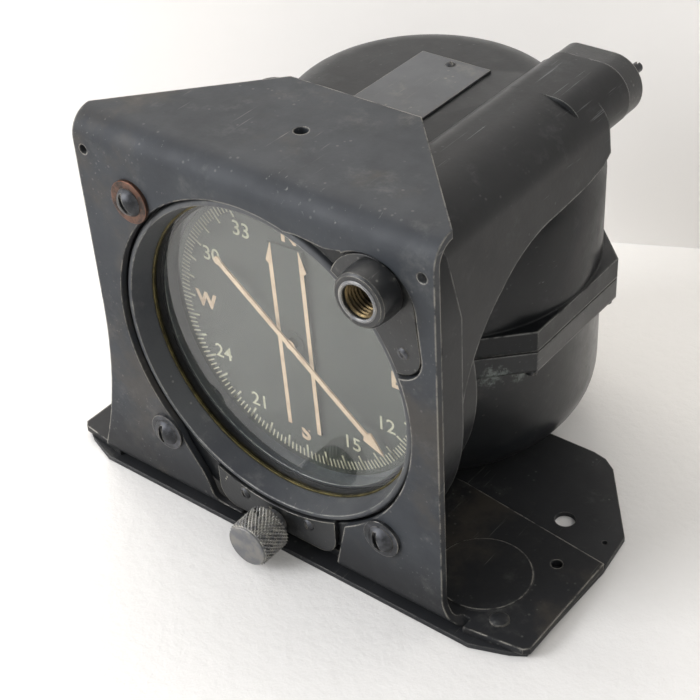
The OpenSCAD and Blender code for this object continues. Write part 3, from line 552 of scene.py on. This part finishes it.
class Shop:
    """All finishes of the compass, each built once."""

    def __init__(self) -> None:
        """Builds the materials."""
        # slate-black enamel sprayed on sheet: nearly matt, darker low down (partly paint, partly painted
        # shade on the foot), rubbed grey at the bends
        self.bracket = WornPaint(
            "slate_black_enamel_on_sheet", "#2a2d31", "#33363a", "#a8a49b", rough=0.56, edge_mm=0.7,
            edge_wear=0.85, grain=0.2, chip_level=0.735, dust_amount=0.21, scratch=0.45, stain_amount=0.4,
            shaded_low_coat="#1c1d1f", sheen=0.3).material()
        # the same enamel on the base plate, blacker: partly a darker enamel, partly painted shade where the
        # instrument shades it
        self.base = WornPaint(
            "black_enamel_and_painted_shade_on_base_plate", "#1e1f21", "#252628", "#8d8a84", rough=0.5, edge_mm=0.5,
            edge_wear=0.6, grain=0.2, chip_level=0.75, dust_amount=0.22, sheen=0.3).material()
        # stoved black on a casting: glossy, with scuffs and a little dust
        self.casting = WornPaint(
            "stoved_black_on_cast_aluminium", "#0d0f11", "#141618", "#8a8a86", rough=0.4, edge_mm=0.8,
            edge_wear=0.75, chip_level=0.705, grain_mm=1.1, grain=0.2, dust="#86888a", dust_amount=0.1,
            scratch=0.3, sheen=0.15, gloss=0.3).material()
        # the same stoved black with corrosion under the joint
        self.bowl = WornPaint(
            "stoved_black_on_lower_bowl", "#0f1113", "#17191b", "#8a8a86", rough=0.34, edge_mm=0.8,
            edge_wear=0.6, chip_level=0.74, grain_mm=1.1, grain=0.2, dust_amount=0.1, scratch=0.3,
            blooms=((33.6, 38.8, -11.9, 7), (37.2, 45, -13.1, 5)), sheen=0.25, gloss=0.45).material()
        # black-anodised rings: dusty, speckled where the film has gone
        self.anodised = WornPaint(
            "black_anodised_aluminium", "#393b3f", "#46484a", "#b9b6ad", rough=0.44, edge_mm=0.5,
            edge_wear=0.7, chip_level=0.695, grain_mm=0.5, grain=0.3, dust_amount=0.5, scratch=0.6).material()
        # black lacquer on the small fittings, worn bright along its edges
        self.lacquer = WornPaint(
            "black_lacquer_on_brass", "#1a1b1c", "#242526", "#a9a598", rough=0.34, edge_mm=0.45,
            edge_wear=0.9, chip_level=0.665, grain_mm=0.6, grain=0.35, dust_amount=0.5,
            scratch=0.6).material()
        # blackened etched plate: smooth, a little brown with dust
        self.plate = WornPaint(
            "etched_plate_black", "#3c3e41", "#45474a", "#9c9484", rough=0.42, edge_mm=0.35, grain=0.1,
            grain_mm=0.4, chip_level=0.8, dust="#8a8578").material()
        # blackened brass screws: dark, grey where a driver has rubbed them
        self.screw = TurnedMetal("blackened_brass", "#343537", "#55565a", rough=0.42, metallic=0.7,
                                 edge="#a8a396").material()
        # copper gone brown, with red edges
        self.copper = TurnedMetal("dull_copper", "#6b5247", "#46423f", rough=0.5, edge="#a06a50").material()
        # clean brass of the inner gears and bearings
        self.brass = TurnedMetal("aged_brass", "#a08a4e", "#6f6238", rough=0.32, edge="#c2aa68").material()
        # brass that has gone brown and dusty
        self.dull_brass = TurnedMetal("tarnished_brass", "#5a5232", "#343122", rough=0.5, metallic=0.7,
                                      edge="#8f8252", tarnish_mm=5).material()
        # bronze thread, dark in the roots
        self.bronze = TurnedMetal("dark_bronze", "#66573c", "#3a3226", rough=0.42, metallic=0.85,
                                  edge="#a8986c").material()
        # ground steel: bright and even
        self.steel = TurnedMetal("ground_steel", "#a5a7a9", "#8a8c8e", rough=0.28).material()
        # gunmetal plating, pale where the knurl has been handled
        self.gunmetal = TurnedMetal("gunmetal_plated_brass", "#707174", "#8a8884", rough=0.42, metallic=0.75,
                                    edge="#d8d4c6", edge_mm=0.3, tarnish_mm=2.5).material()
        # hard magnet steel: dark grey
        self.magnet = TurnedMetal("magnet_steel", "#6a6d70", "#505356", rough=0.4).material()
        # thin tinned sheet: pale and slightly yellow
        self.float_sheet = TurnedMetal("spun_tinned_sheet", "#b8b29c", "#8f8a78", rough=0.4).material()
        # matt paint that lets the print stand out; its black is lifted toward grey-green, partly the paint's
        # own tone and partly painted reflection of the haze on the glass
        self.dial = DialPaint("matt_black_dial_paint", "#1d201b", "#272a24").material()
        # luminous compound gone salmon, and the cream print
        self.lume = LuminousPaint("aged_luminous_paint", "#b49b82", "#a1876f").material()
        self.cream = LuminousPaint("cream_dial_print", "#a6a18a", "#95907a").material()
        # clear glass with a trace of green
        self.glass = PlateGlass("cover_glass", "#f6faf8").material()
        # dull rubber seals
        self.rubber = GasketRubber("old_black_rubber", "#1f1f1f", "#2e2d2b").material()


def clear_selection() -> None:
    """Leaves edit mode and deselects everything, so that a new primitive stands alone."""
    if bpy.context.object and bpy.context.object.mode != "OBJECT":
        bpy.ops.object.mode_set(mode="OBJECT")
    bpy.ops.object.select_all(action="DESELECT")


def alone(obj: Piece) -> None:
    """Makes one object the only selected and the active one.

    Args:
        obj: the object.
    """
    clear_selection()
    obj.select_set(True)
    bpy.context.view_layer.objects.active = obj


def edit_all(obj: Piece) -> None:
    """Enters edit mode on one object with all of it selected.

    Args:
        obj: the object.
    """
    alone(obj)
    bpy.ops.object.mode_set(mode="EDIT")
    bpy.ops.mesh.select_all(action="SELECT")


def turn_faces_out() -> None:
    """Points the faces of the mesh in edit mode outwards and leaves edit mode."""
    bpy.ops.mesh.select_all(action="SELECT")
    bpy.ops.mesh.normals_make_consistent(inside=False)
    bpy.ops.object.mode_set(mode="OBJECT")


def start_outline(corners: Sequence[Vector], fill: str = "NOTHING") -> Piece:
    """Closed outline, entered in edit mode with all of it selected.

    Args:
        corners: its corners in metres, going round once.
        fill: NGON for a face inside it.

    Returns:
        The outline.
    """
    clear_selection()
    bpy.ops.mesh.primitive_circle_add(vertices=len(corners), radius=START_R_M, fill_type=fill)
    obj = bpy.context.object
    for vertex, corner in zip(obj.data.vertices, corners):
        vertex.co = corner
    edit_all(obj)
    return obj


def settle(obj: Piece, angle: float = 35.0) -> None:
    """Puts an object's place into its mesh and smooths it by angle.

    Args:
        obj: the object.
        angle: degrees above which an edge stays sharp.
    """
    alone(obj)
    bpy.ops.object.transform_apply(location=True, rotation=True, scale=True)
    bpy.ops.object.shade_smooth_by_angle(angle=math.radians(angle))


def apply_modifier(obj: Piece, kind: str, **settings) -> None:
    """Adds a modifier and applies it.

    Args:
        obj: the object.
        kind: modifier type.
        settings: modifier properties.
    """
    alone(obj)
    modifier = obj.modifiers.new(kind.lower(), kind)
    for key, value in settings.items():
        setattr(modifier, key, value)
    bpy.ops.object.modifier_apply(modifier=modifier.name)


def dress(obj: Piece, name: str, body: Body, material: Material,
          stands_for: Sequence[str] = ()) -> Piece:
    """Names a piece, gives it its finish and lets it ride on its body.

    Args:
        obj: the piece.
        name: its name.
        body: the body that carries it.
        material: its finish.
        stands_for: CAD nodes that it replaces.

    Returns:
        The piece.
    """
    obj.name = name
    obj.data.name = name
    obj.data.materials.clear()
    obj.data.materials.append(material)
    for face in obj.data.polygons:
        face.material_index = 0
    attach(obj, body.value)
    if stands_for:
        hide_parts(*stands_for)
    LOG.info("%s: %d faces on %s", name, len(obj.data.polygons), body.value)
    return obj


def paint_node(node: str, material: Material) -> None:
    """Gives a CAD node its finish and leaves its mesh alone.

    Args:
        node: the node's name.
        material: the finish.
    """
    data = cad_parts[node].data
    data.materials.clear()
    data.materials.append(material)
    LOG.info("%s: finish %s", node, material.name)


def skin(node: str, material: Material, body: Body = Body.HOUSING) -> Piece:
    """Merged, smooth copy of a CAD node that stands for it.

    Args:
        node: the node's name.
        material: the finish.
        body: the body that carries it.

    Returns:
        The copy.
    """
    obj = bpy.data.objects.new(node + "_skin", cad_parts[node].data.copy())
    bpy.context.scene.collection.objects.link(obj)
    edit_all(obj)
    bpy.ops.mesh.customdata_custom_splitnormals_clear()
    bpy.ops.mesh.remove_doubles(threshold=WELD_CAD_M)
    bpy.ops.object.mode_set(mode="OBJECT")
    settle(obj, CAD_SHARP_DEG)
    return dress(obj, node + "_skin", body, material, [node])


def plate_from(outline: Sequence[tuple[float, float]], y_front: float, y_back: float) -> Piece:
    """Flat plate with a front-view outline.

    Args:
        outline: x and z of the corners, going round once.
        y_front, y_back: front and back face.

    Returns:
        A closed plate.
    """
    obj = start_outline([place(x, y_front, z) for x, z in outline], "NGON")
    bpy.ops.mesh.extrude_region_move(TRANSFORM_OT_translate={"value": (0, (y_back - y_front) * MM, 0)})
    turn_faces_out()
    return obj


def joined(pieces: Sequence[Piece]) -> Piece:
    """Joins pieces into the first one.

    Args:
        pieces: mesh objects.

    Returns:
        The joined object.
    """
    alone(pieces[0])
    for piece in pieces[1:]:
        piece.select_set(True)
    bpy.ops.object.join()
    return bpy.context.object


def ring_of(profile: Sequence[tuple[float, float]], centre: tuple[float, float], steps: int) -> Piece:
    """Closed ring turned about an axis along Y.

    Args:
        profile: radius and y of the section's corners, going round once.
        centre: x and z of the axis.
        steps: segments round the ring.

    Returns:
        The ring.
    """
    x, z = centre
    obj = start_outline([place(x + radius, y, z) for radius, y in profile])
    bpy.ops.mesh.spin(steps=steps, angle=math.tau, center=place(x, 0, z), axis=(0, 1, 0))
    bpy.ops.mesh.select_all(action="SELECT")
    bpy.ops.mesh.remove_doubles(threshold=WELD_M)
    turn_faces_out()
    return obj


@dataclass
class SheetBracket:
    """Bent sheet bracket with its base plate, rivets, panel screws and washers."""

    def build(self, shop: Shop) -> None:
        """Dresses the sheet parts.

        Args:
            shop: the finishes.
        """
        skin("bracket", shop.bracket)
        skin("base_plate", shop.base)
        skin("base_rivet", shop.bracket)
        skin("panel_screw", shop.screw)
        skin("panel_washer", shop.screw)
        skin("copper_washer", shop.copper)


@dataclass
class CaseCasting:
    """Case casting, lower bowl, barrel cap, adjusters, name plate and the small plates on the front."""

    def build(self, shop: Shop) -> None:
        """Dresses the castings and what is screwed to them.

        Args:
            shop: the finishes.
        """
        skin("case_body", shop.casting)
        skin("lower_bowl", shop.bowl)
        skin("knob_plate", shop.lacquer)
        skin("barrel_cap", shop.lacquer)
        skin("name_plate", shop.plate)
        for node in ("plate_screw", "lamp_screw", "name_plate_screw", "bowl_screw", "filler_plug"):
            skin(node, shop.screw)
        skin("compensator_a", shop.screw, Body.COMP_A)
        skin("compensator_b", shop.screw, Body.COMP_B)
        paint_node("bowl_gasket", shop.rubber)
        for node in ("compensator_magnet_a", "compensator_magnet_b"):
            paint_node(node, shop.magnet)


@dataclass
class Dial:
    """Bezel, glass and the fixed dial with its printed scale.

    The print stands print_t proud of face_y and sinks into it by sink. capital_share is a capital's height
    as a share of the type size, and weight thickens its strokes.
    """
    face_y: float = 13.3
    print_t: float = 0.06
    sink: float = 0.01
    outer_r: float = 33.8
    long_r: float = 30.1
    long_w: float = 0.5
    long_step: float = 10
    short_r: float = 31.6
    short_w: float = 0.34
    short_step: float = 2
    capital_share: float = 0.73
    number_r: float = 26.9
    number_h: float = 3.8
    number_weight: float = 0.03
    letter_r: float = 26.6
    letter_h: float = 4.05
    letter_weight: float = 0.22
    numbers: dict[int, str] = field(default_factory=lambda: {
        30: "3", 60: "6", 120: "12", 150: "15", 210: "21", 240: "24", 300: "30", 330: "33"})
    letters: dict[int, str] = field(default_factory=lambda: {0: "N", 90: "E", 180: "S", 270: "W"})

    def ticks(self, inner: float, width: float, step: float) -> Piece:
        """Ring of tick marks.

        Args:
            inner: radius of the inner ends.
            width: width of a mark.
            step: degrees between marks.

        Returns:
            All the marks as one mesh.
        """
        half = width / 2
        obj = plate_from([(-half, inner), (half, inner), (half, self.outer_r), (-half, self.outer_r)],
                         self.face_y - self.print_t, self.face_y + self.sink)
        edit_all(obj)
        bpy.ops.mesh.spin(steps=round(360 / step), dupli=True, angle=math.tau, center=place(0, 0, 0),
                          axis=(0, 1, 0))
        bpy.ops.mesh.select_all(action="SELECT")
        bpy.ops.mesh.remove_doubles(threshold=WELD_M)
        bpy.ops.object.mode_set(mode="OBJECT")
        return obj

    def sign(self, text: str, heading: float, height: float, radius: float, weight: float) -> Piece:
        """One upright number or letter on the dial.

        Args:
            text: what it says.
            heading: degrees clockwise from the top.
            height: height of the figures.
            radius: distance of its middle from the axis.
            weight: stroke offset.

        Returns:
            The sign as a mesh.
        """
        clear_selection()
        bpy.ops.object.text_add(rotation=(math.pi / 2, 0, 0))
        obj = bpy.context.object
        obj.data.body = text
        obj.data.size = height / self.capital_share * MM
        obj.data.align_x = "CENTER"
        obj.data.align_y = "CENTER"
        obj.data.offset = weight * MM
        obj.data.extrude = self.print_t * 0.5 * MM
        bpy.ops.object.convert(target="MESH")
        obj = bpy.context.object
        lean = math.radians(heading)
        obj.location = place(radius * math.sin(lean), self.face_y - self.print_t * 0.5,
                             radius * math.cos(lean))
        bpy.ops.object.transform_apply(location=True, rotation=True, scale=True)
        return obj

    def build(self, shop: Shop) -> None:
        """Builds the printed scale and dresses the dial parts.

        Args:
            shop: the finishes.
        """
        skin("bezel_ring", shop.anodised)
        skin("retaining_ring", shop.dull_brass)
        glass = skin("cover_glass", shop.glass)
        glass.visible_shadow = False
        skin("distance_ring", shop.anodised)
        skin("dial_plate", shop.dial)
        paint_node("glass_gasket", shop.rubber)
        marks = joined([self.ticks(self.short_r, self.short_w, self.short_step),
                        self.ticks(self.long_r, self.long_w, self.long_step)])
        dress(marks, "scale_marks", Body.HOUSING, shop.cream)
        numbers = joined([self.sign(text, at, self.number_h, self.number_r, self.number_weight)
                          for at, text in self.numbers.items()])
        dress(numbers, "scale_numbers", Body.HOUSING, shop.cream)
        letters = joined([self.sign(text, at, self.letter_h, self.letter_r, self.letter_weight)
                          for at, text in self.letters.items()])
        dress(letters, "cardinal_letters", Body.HOUSING, shop.lume)


@dataclass
class CourseBar:
    """Black bar in front of the dial with two luminous lines that end in half arrows.

    A half arrow leaves the line barb_h below its end, is widest at barb_wide_h and has a small flat at its
    tip.
    """
    line_x: float = 4.25
    line_w: float = 1.05
    half_len: float = 24.25
    barb_h: float = 5.6
    barb_wide_h: float = 4.9
    barb_w: float = 0.8
    tip_w: float = 0.15
    tip_h: float = 0.3
    lean: float = 1.5
    front_y: float = 12.3
    paint_t: float = 0.06
    sink: float = 0.01

    def line(self, side: int) -> Piece:
        """One luminous line with its half arrow.

        Args:
            side: -1 for the left line, 1 for the right one.

        Returns:
            The line as a thin plate.
        """
        inner, outer = self.line_x - self.line_w / 2, self.line_x + self.line_w / 2
        top = self.half_len
        outline = [(inner, -top), (outer, -top), (outer, top - self.barb_h),
                   (outer + self.barb_w, top - self.barb_wide_h), (inner + self.tip_w, top),
                   (inner, top - self.tip_h)]
        lean = Matrix.Rotation(math.radians(self.lean), 2)
        turned = [lean @ Vector((side * x, z)) for x, z in outline]
        return plate_from([(p.x, p.y) for p in turned], self.front_y - self.paint_t, self.front_y + self.sink)

    def build(self, shop: Shop) -> None:
        """Builds the lines and dresses the setting gears.

        Args:
            shop: the finishes.
        """
        skin("course_bar", shop.dial, Body.COURSE)
        dress(joined([self.line(-1), self.line(1)]), "course_lines", Body.COURSE, shop.lume)
        for node in ("course_gear", "idler_gear", "knob_bush"):
            paint_node(node, shop.brass)
        for node in ("idler_stud", "knob_shaft"):
            paint_node(node, shop.steel)


@dataclass
class Pointer:
    """Needle that the float drives, luminous in front and black behind back_y."""
    back_y: float = 10.8
    back_gap: float = 0.02

    def build(self, shop: Shop) -> None:
        """Dresses the pointer and its drive.

        Args:
            shop: the finishes.
        """
        needle = skin("pointer", shop.lume, Body.POINTER)
        needle.data.materials.append(shop.dial)
        back_m = place(0, self.back_y + self.back_gap, 0).y
        for face in needle.data.polygons:
            face.material_index = int(face.center.y > back_m)
        paint_node("pointer_shaft", shop.steel)
        paint_node("pointer_gear", shop.brass)
        paint_node("bearing_quill", shop.dial)


@dataclass
class LampSocket:
    """Cast lamp socket with a threaded bore and a bright lip.

    A tooth of the thread sinks into the wall by sink. lip_corners are the lip's section: radius beyond the
    bore and y beyond the front.
    """
    axis: tuple[float, float] = (33.4, 34.2)
    bore_r: float = 3.7
    pitch: float = 0.9
    front_y: float = -6.0
    back_y: float = 1.6
    tooth_h: float = 0.5
    tooth_half_w: float = 0.42
    sink: float = 0.02
    thread_in: float = 0.8
    thread_ends: float = 1.2
    thread_steps: int = 48
    lip_corners: tuple[tuple[float, float], ...] = (
        (0.02, -0.15), (0.4, -0.3), (0.75, -0.15), (0.85, 0.1), (0.02, 0.1))
    lip_steps: int = 64

    def thread(self) -> Piece:
        """Internal thread as one helix.

        Returns:
            The thread.
        """
        root, half = self.bore_r + self.sink, self.tooth_half_w
        tooth = ((root, -half), (self.bore_r - self.tooth_h, 0.0), (root, half))
        obj = start_outline([Vector((radius * MM, 0, along * MM)) for radius, along in tooth])
        turns = int((self.back_y - self.front_y - self.thread_ends) / self.pitch)
        apply_modifier(obj, "SCREW", axis="Z", angle=math.tau, screw_offset=self.pitch * MM, iterations=turns,
                       steps=self.thread_steps, render_steps=self.thread_steps, use_merge_vertices=True,
                       use_normal_calculate=True)
        obj.rotation_euler = (-math.pi / 2, 0, 0)
        obj.location = place(self.axis[0], self.front_y + self.thread_in, self.axis[1])
        settle(obj, angle=40)
        edit_all(obj)
        turn_faces_out()
        return obj

    def build(self, shop: Shop) -> None:
        """Builds the thread and dresses the socket.

        Args:
            shop: the finishes.
        """
        skin("lamp_socket", shop.lacquer)
        lip = ring_of([(self.bore_r + out, self.front_y + ahead) for out, ahead in self.lip_corners],
                      self.axis, self.lip_steps)
        settle(lip)
        dress(lip, "lamp_socket_lip", Body.HOUSING, shop.gunmetal)
        dress(self.thread(), "lamp_thread", Body.HOUSING, shop.bronze)


@dataclass
class SettingKnob:
    """Knob with a diamond knurl, cut where right-hand and left-hand teeth cross, and a hub behind it.

    The grip starts grip_front_in behind the knob's face and ends grip_back_in before its back, where the hub
    begins. The plain core lies core_in inside the grip.
    """
    drop: float = 43.6
    radius: float = 5.75
    front_y: float = -10.2
    back_y: float = -1.7
    hub_r: float = 3.2
    hub_back_y: float = 0.4
    hub_bevel: float = 0.2
    teeth: int = 34
    tooth_h: float = 0.7
    core_in: float = 0.6
    core_bevel: float = 0.3
    grip_front_in: float = 0.6
    grip_back_in: float = 0.5
    rows: int = 12
    lead_deg: float = 62.0
    rod_sides: int = 72

    def rod(self, radius: float, y_front: float, y_back: float, bevel: float) -> Piece:
        """Round bar along the local axis, whose height runs toward the front.

        Args:
            radius: its radius.
            y_front, y_back: its ends behind the panel face.
            bevel: rounding of the ends.

        Returns:
            The bar.
        """
        clear_selection()
        bpy.ops.mesh.primitive_cylinder_add(
            vertices=self.rod_sides, radius=radius * MM, depth=(y_back - y_front) * MM,
            location=(0, 0, -(y_front + y_back) / 2 * MM))
        obj = bpy.context.object
        apply_modifier(obj, "BEVEL", width=bevel * MM, segments=3, limit_method="ANGLE")
        return obj

    def toothed(self, y_front: float, y_back: float, hand: int) -> Piece:
        """Bar with helical teeth.

        Args:
            y_front, y_back: its ends behind the panel face.
            hand: 1 for a right-hand helix, -1 for a left-hand one.

        Returns:
            The bar.
        """
        clear_selection()
        bpy.ops.mesh.primitive_circle_add(vertices=2 * self.teeth, radius=self.radius * MM, fill_type="NGON",
                                          location=(0, 0, -y_back * MM))
        obj = bpy.context.object
        for index, vertex in enumerate(obj.data.vertices):
            if index % 2:
                vertex.co *= (self.radius - self.tooth_h) / self.radius
        edit_all(obj)
        for _ in range(self.rows):
            bpy.ops.mesh.extrude_region_move(
                TRANSFORM_OT_translate={"value": (0, 0, (y_back - y_front) / self.rows * MM)})
            bpy.ops.transform.rotate(value=hand * math.radians(self.lead_deg) / self.rows, orient_axis="Z",
                                     center_override=(0, 0, 0))
        turn_faces_out()
        return obj

    def build(self, shop: Shop) -> None:
        """Builds the knob.

        Args:
            shop: the finishes.
        """
        grip_front, grip_back = self.front_y + self.grip_front_in, self.back_y - self.grip_back_in
        grip = self.toothed(grip_front, grip_back, 1)
        other = self.toothed(grip_front, grip_back, -1)
        apply_modifier(grip, "BOOLEAN", operation="INTERSECT", object=other)
        bpy.data.objects.remove(other)
        core = self.rod(self.radius - self.core_in, self.front_y, self.back_y, self.core_bevel)
        hub = self.rod(self.hub_r, grip_back, self.hub_back_y, self.hub_bevel)
        obj = joined([core, grip, hub])
        bpy.ops.object.transform_apply(location=True, rotation=True, scale=True)
        obj.rotation_euler = (math.pi / 2, 0, 0)
        obj.location = place(0, 0, -self.drop)
        settle(obj, angle=25)
        dress(obj, "knurled_knob", Body.KNOB, shop.gunmetal, ["set_knob"])


@dataclass
class FloatSystem:
    """Float, magnets and bearings inside the bowl."""

    def build(self, shop: Shop) -> None:
        """Dresses the inner parts.

        Args:
            shop: the finishes.
        """
        paint_node("float_bell", shop.float_sheet)
        paint_node("magnet_bar", shop.magnet)
        paint_node("float_spindle", shop.steel)
        for node in ("magnet_yoke", "float_gear", "upper_bearing", "lower_bearing"):
            paint_node(node, shop.brass)


@dataclass
class Studio:
    """Pale floor and wall, soft light and the camera at the photograph's angle.

    The camera looks turn degrees to the left of straight ahead and tilt degrees down. sky is the room's
    brightness on the left and on the right.
    """
    eye: tuple[float, float, float] = (178.58, -181.27, 194.01)
    turn: float = 40.13
    tilt: float = 36.87
    roll: float = -3.87
    focal_px: float = 1509.1
    image_px: int = 700
    sensor_w: float = 36
    clip_m: tuple[float, float] = (0.01, 20)
    board_m: float = 6
    floor_z_m: float = -0.0002
    wall_y_m: float = 0.1055
    wall_turn: float = 25.5
    aim_m: tuple[float, float, float] = (0, 0, 0.05)
    sky: tuple[float, float] = (0.84, 0.14)

    def camera(self) -> None:
        """Makes the camera."""
        turn, tilt, roll = (math.radians(v) for v in (self.turn, self.tilt, self.roll))
        ahead = Vector((-math.sin(turn) * math.cos(tilt), math.cos(turn) * math.cos(tilt), -math.sin(tilt)))
        level = ahead.cross(Vector((0, 0, 1))).normalized()
        upright = level.cross(ahead)
        right = level * math.cos(roll) + upright * math.sin(roll)
        up = upright * math.cos(roll) - level * math.sin(roll)
        data = bpy.data.cameras.new("photo_camera")
        data.sensor_width = self.sensor_w
        data.lens = self.sensor_w * self.focal_px / self.image_px
        data.clip_start, data.clip_end = self.clip_m
        camera = bpy.data.objects.new("photo_camera", data)
        bpy.context.scene.collection.objects.link(camera)
        rows = Matrix((right, up, -ahead)).transposed().to_4x4()
        camera.matrix_world = Matrix.Translation(place(*self.eye)) @ rows
        bpy.context.scene.camera = camera

    def lamp(self, name: str, at: tuple[float, float, float], size: float, power: float, colour: str) -> None:
        """Adds a soft area lamp aimed at the compass.

        Args:
            name: its name.
            at: place in metres.
            size: side of the square in metres.
            power: watts.
            colour: sRGB hex.
        """
        data = bpy.data.lights.new(name, "AREA")
        data.size = size
        data.energy = power
        data.color = linear(colour)[:3]
        lamp = bpy.data.objects.new(name, data)
        bpy.context.scene.collection.objects.link(lamp)
        lamp.location = at
        lamp.rotation_mode = "QUATERNION"
        lamp.rotation_quaternion = (Vector(self.aim_m) - Vector(at)).to_track_quat("-Z", "Y")

    def surface(self, name: str, colour: str, bump: float) -> Material:
        """White stage board with a slight stipple.

        Args:
            name: the board's name.
            colour: sRGB hex.
            bump: strength of the stipple.

        Returns:
            The material.
        """
        mix = Recipe(bpy.data.materials.new(name))
        grain = stippled(mix, Mottle(5, 6, 0.7), strength=bump, depth_mm=0.5)
        return mix.finished({"Base Color": linear(colour), "Roughness": 0.7, "Normal": grain})

    def board(self, name: str, material: Material, at: tuple[float, float, float],
              rotation: tuple[float, float, float] = (0, 0, 0)) -> Piece:
        """Large square of the stage.

        Args:
            name: its name.
            material: its finish.
            at: its middle in metres.
            rotation: its turn.

        Returns:
            The board.
        """
        clear_selection()
        bpy.ops.mesh.primitive_plane_add(size=self.board_m, location=at, rotation=rotation)
        board = bpy.context.object
        board.name = name
        board.data.materials.append(material)
        return board

    def see_through_back(self, material: Material) -> None:
        """Makes a finish one-sided, so that the compass can be seen from behind too.

        Args:
            material: the finish.
        """
        mix, nodes = Recipe(material), material.node_tree.nodes
        sided = mix.add("MixShader", {0: mix.add("NewGeometry", out="Backfacing"),
                                      1: nodes["Principled BSDF"].outputs[0], 2: mix.add("BsdfTransparent")})
        feed(nodes["Material Output"], {"Surface": sided})

    def room_light(self) -> None:
        """Lights the room evenly, brighter toward the window on the left."""
        world = bpy.data.worlds.new("room_light")
        mix = Recipe(world)
        side = mix.add("SeparateXYZ", {0: mix.add("TexCoord", out="Generated")})
        left, right = self.sky
        feed(world.node_tree.nodes["Background"], {
            "Color": linear("#f3f5fa"),
            "Strength": mix.add("MapRange", {0: side, 1: -1.0, 2: 1.0, 3: left, 4: right})})
        bpy.context.scene.world = world

    def build(self) -> None:
        """Makes the stage, the light and the camera."""
        floor = self.board("stage_floor", self.surface("white_stipple_board", "#e9e7e4", 0.6),
                           (0, 0, self.floor_z_m))
        paint = self.surface("white_wall", "#f3f0ec", 0.05)
        self.see_through_back(paint)
        wall = self.board("stage_wall", paint, (0, self.wall_y_m, self.board_m / 2),
                          (math.pi / 2, 0, math.radians(self.wall_turn)))
        wall.visible_shadow = False
        self.room_light()
        self.lamp("window", (-0.75, -1.0, 0.68), 0.7, 17.5, "#fbfcff")
        self.lamp("back_window", (-1.0, 0.75, 1.3), 1.2, 14, "#fffaf2")
        self.lamp("room_fill", (0.9, -0.6, 0.9), 1.0, 5, "#fffdf8")
        self.camera()


def main() -> None:
    """Builds every sub-assembly in order, then the studio."""
    logging.basicConfig(level=logging.INFO, format="%(message)s")
    bpy.context.scene.view_settings.view_transform = "Standard"
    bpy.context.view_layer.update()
    shop = Shop()
    parts = (SheetBracket(), CaseCasting(), Dial(), CourseBar(), Pointer(), LampSocket(), SettingKnob(),
             FloatSystem())
    for part in parts:
        LOG.info("building %s", type(part).__name__)
        part.build(shop)
    Studio().build()
    clear_selection()


if __name__ == "__main__":
    main()
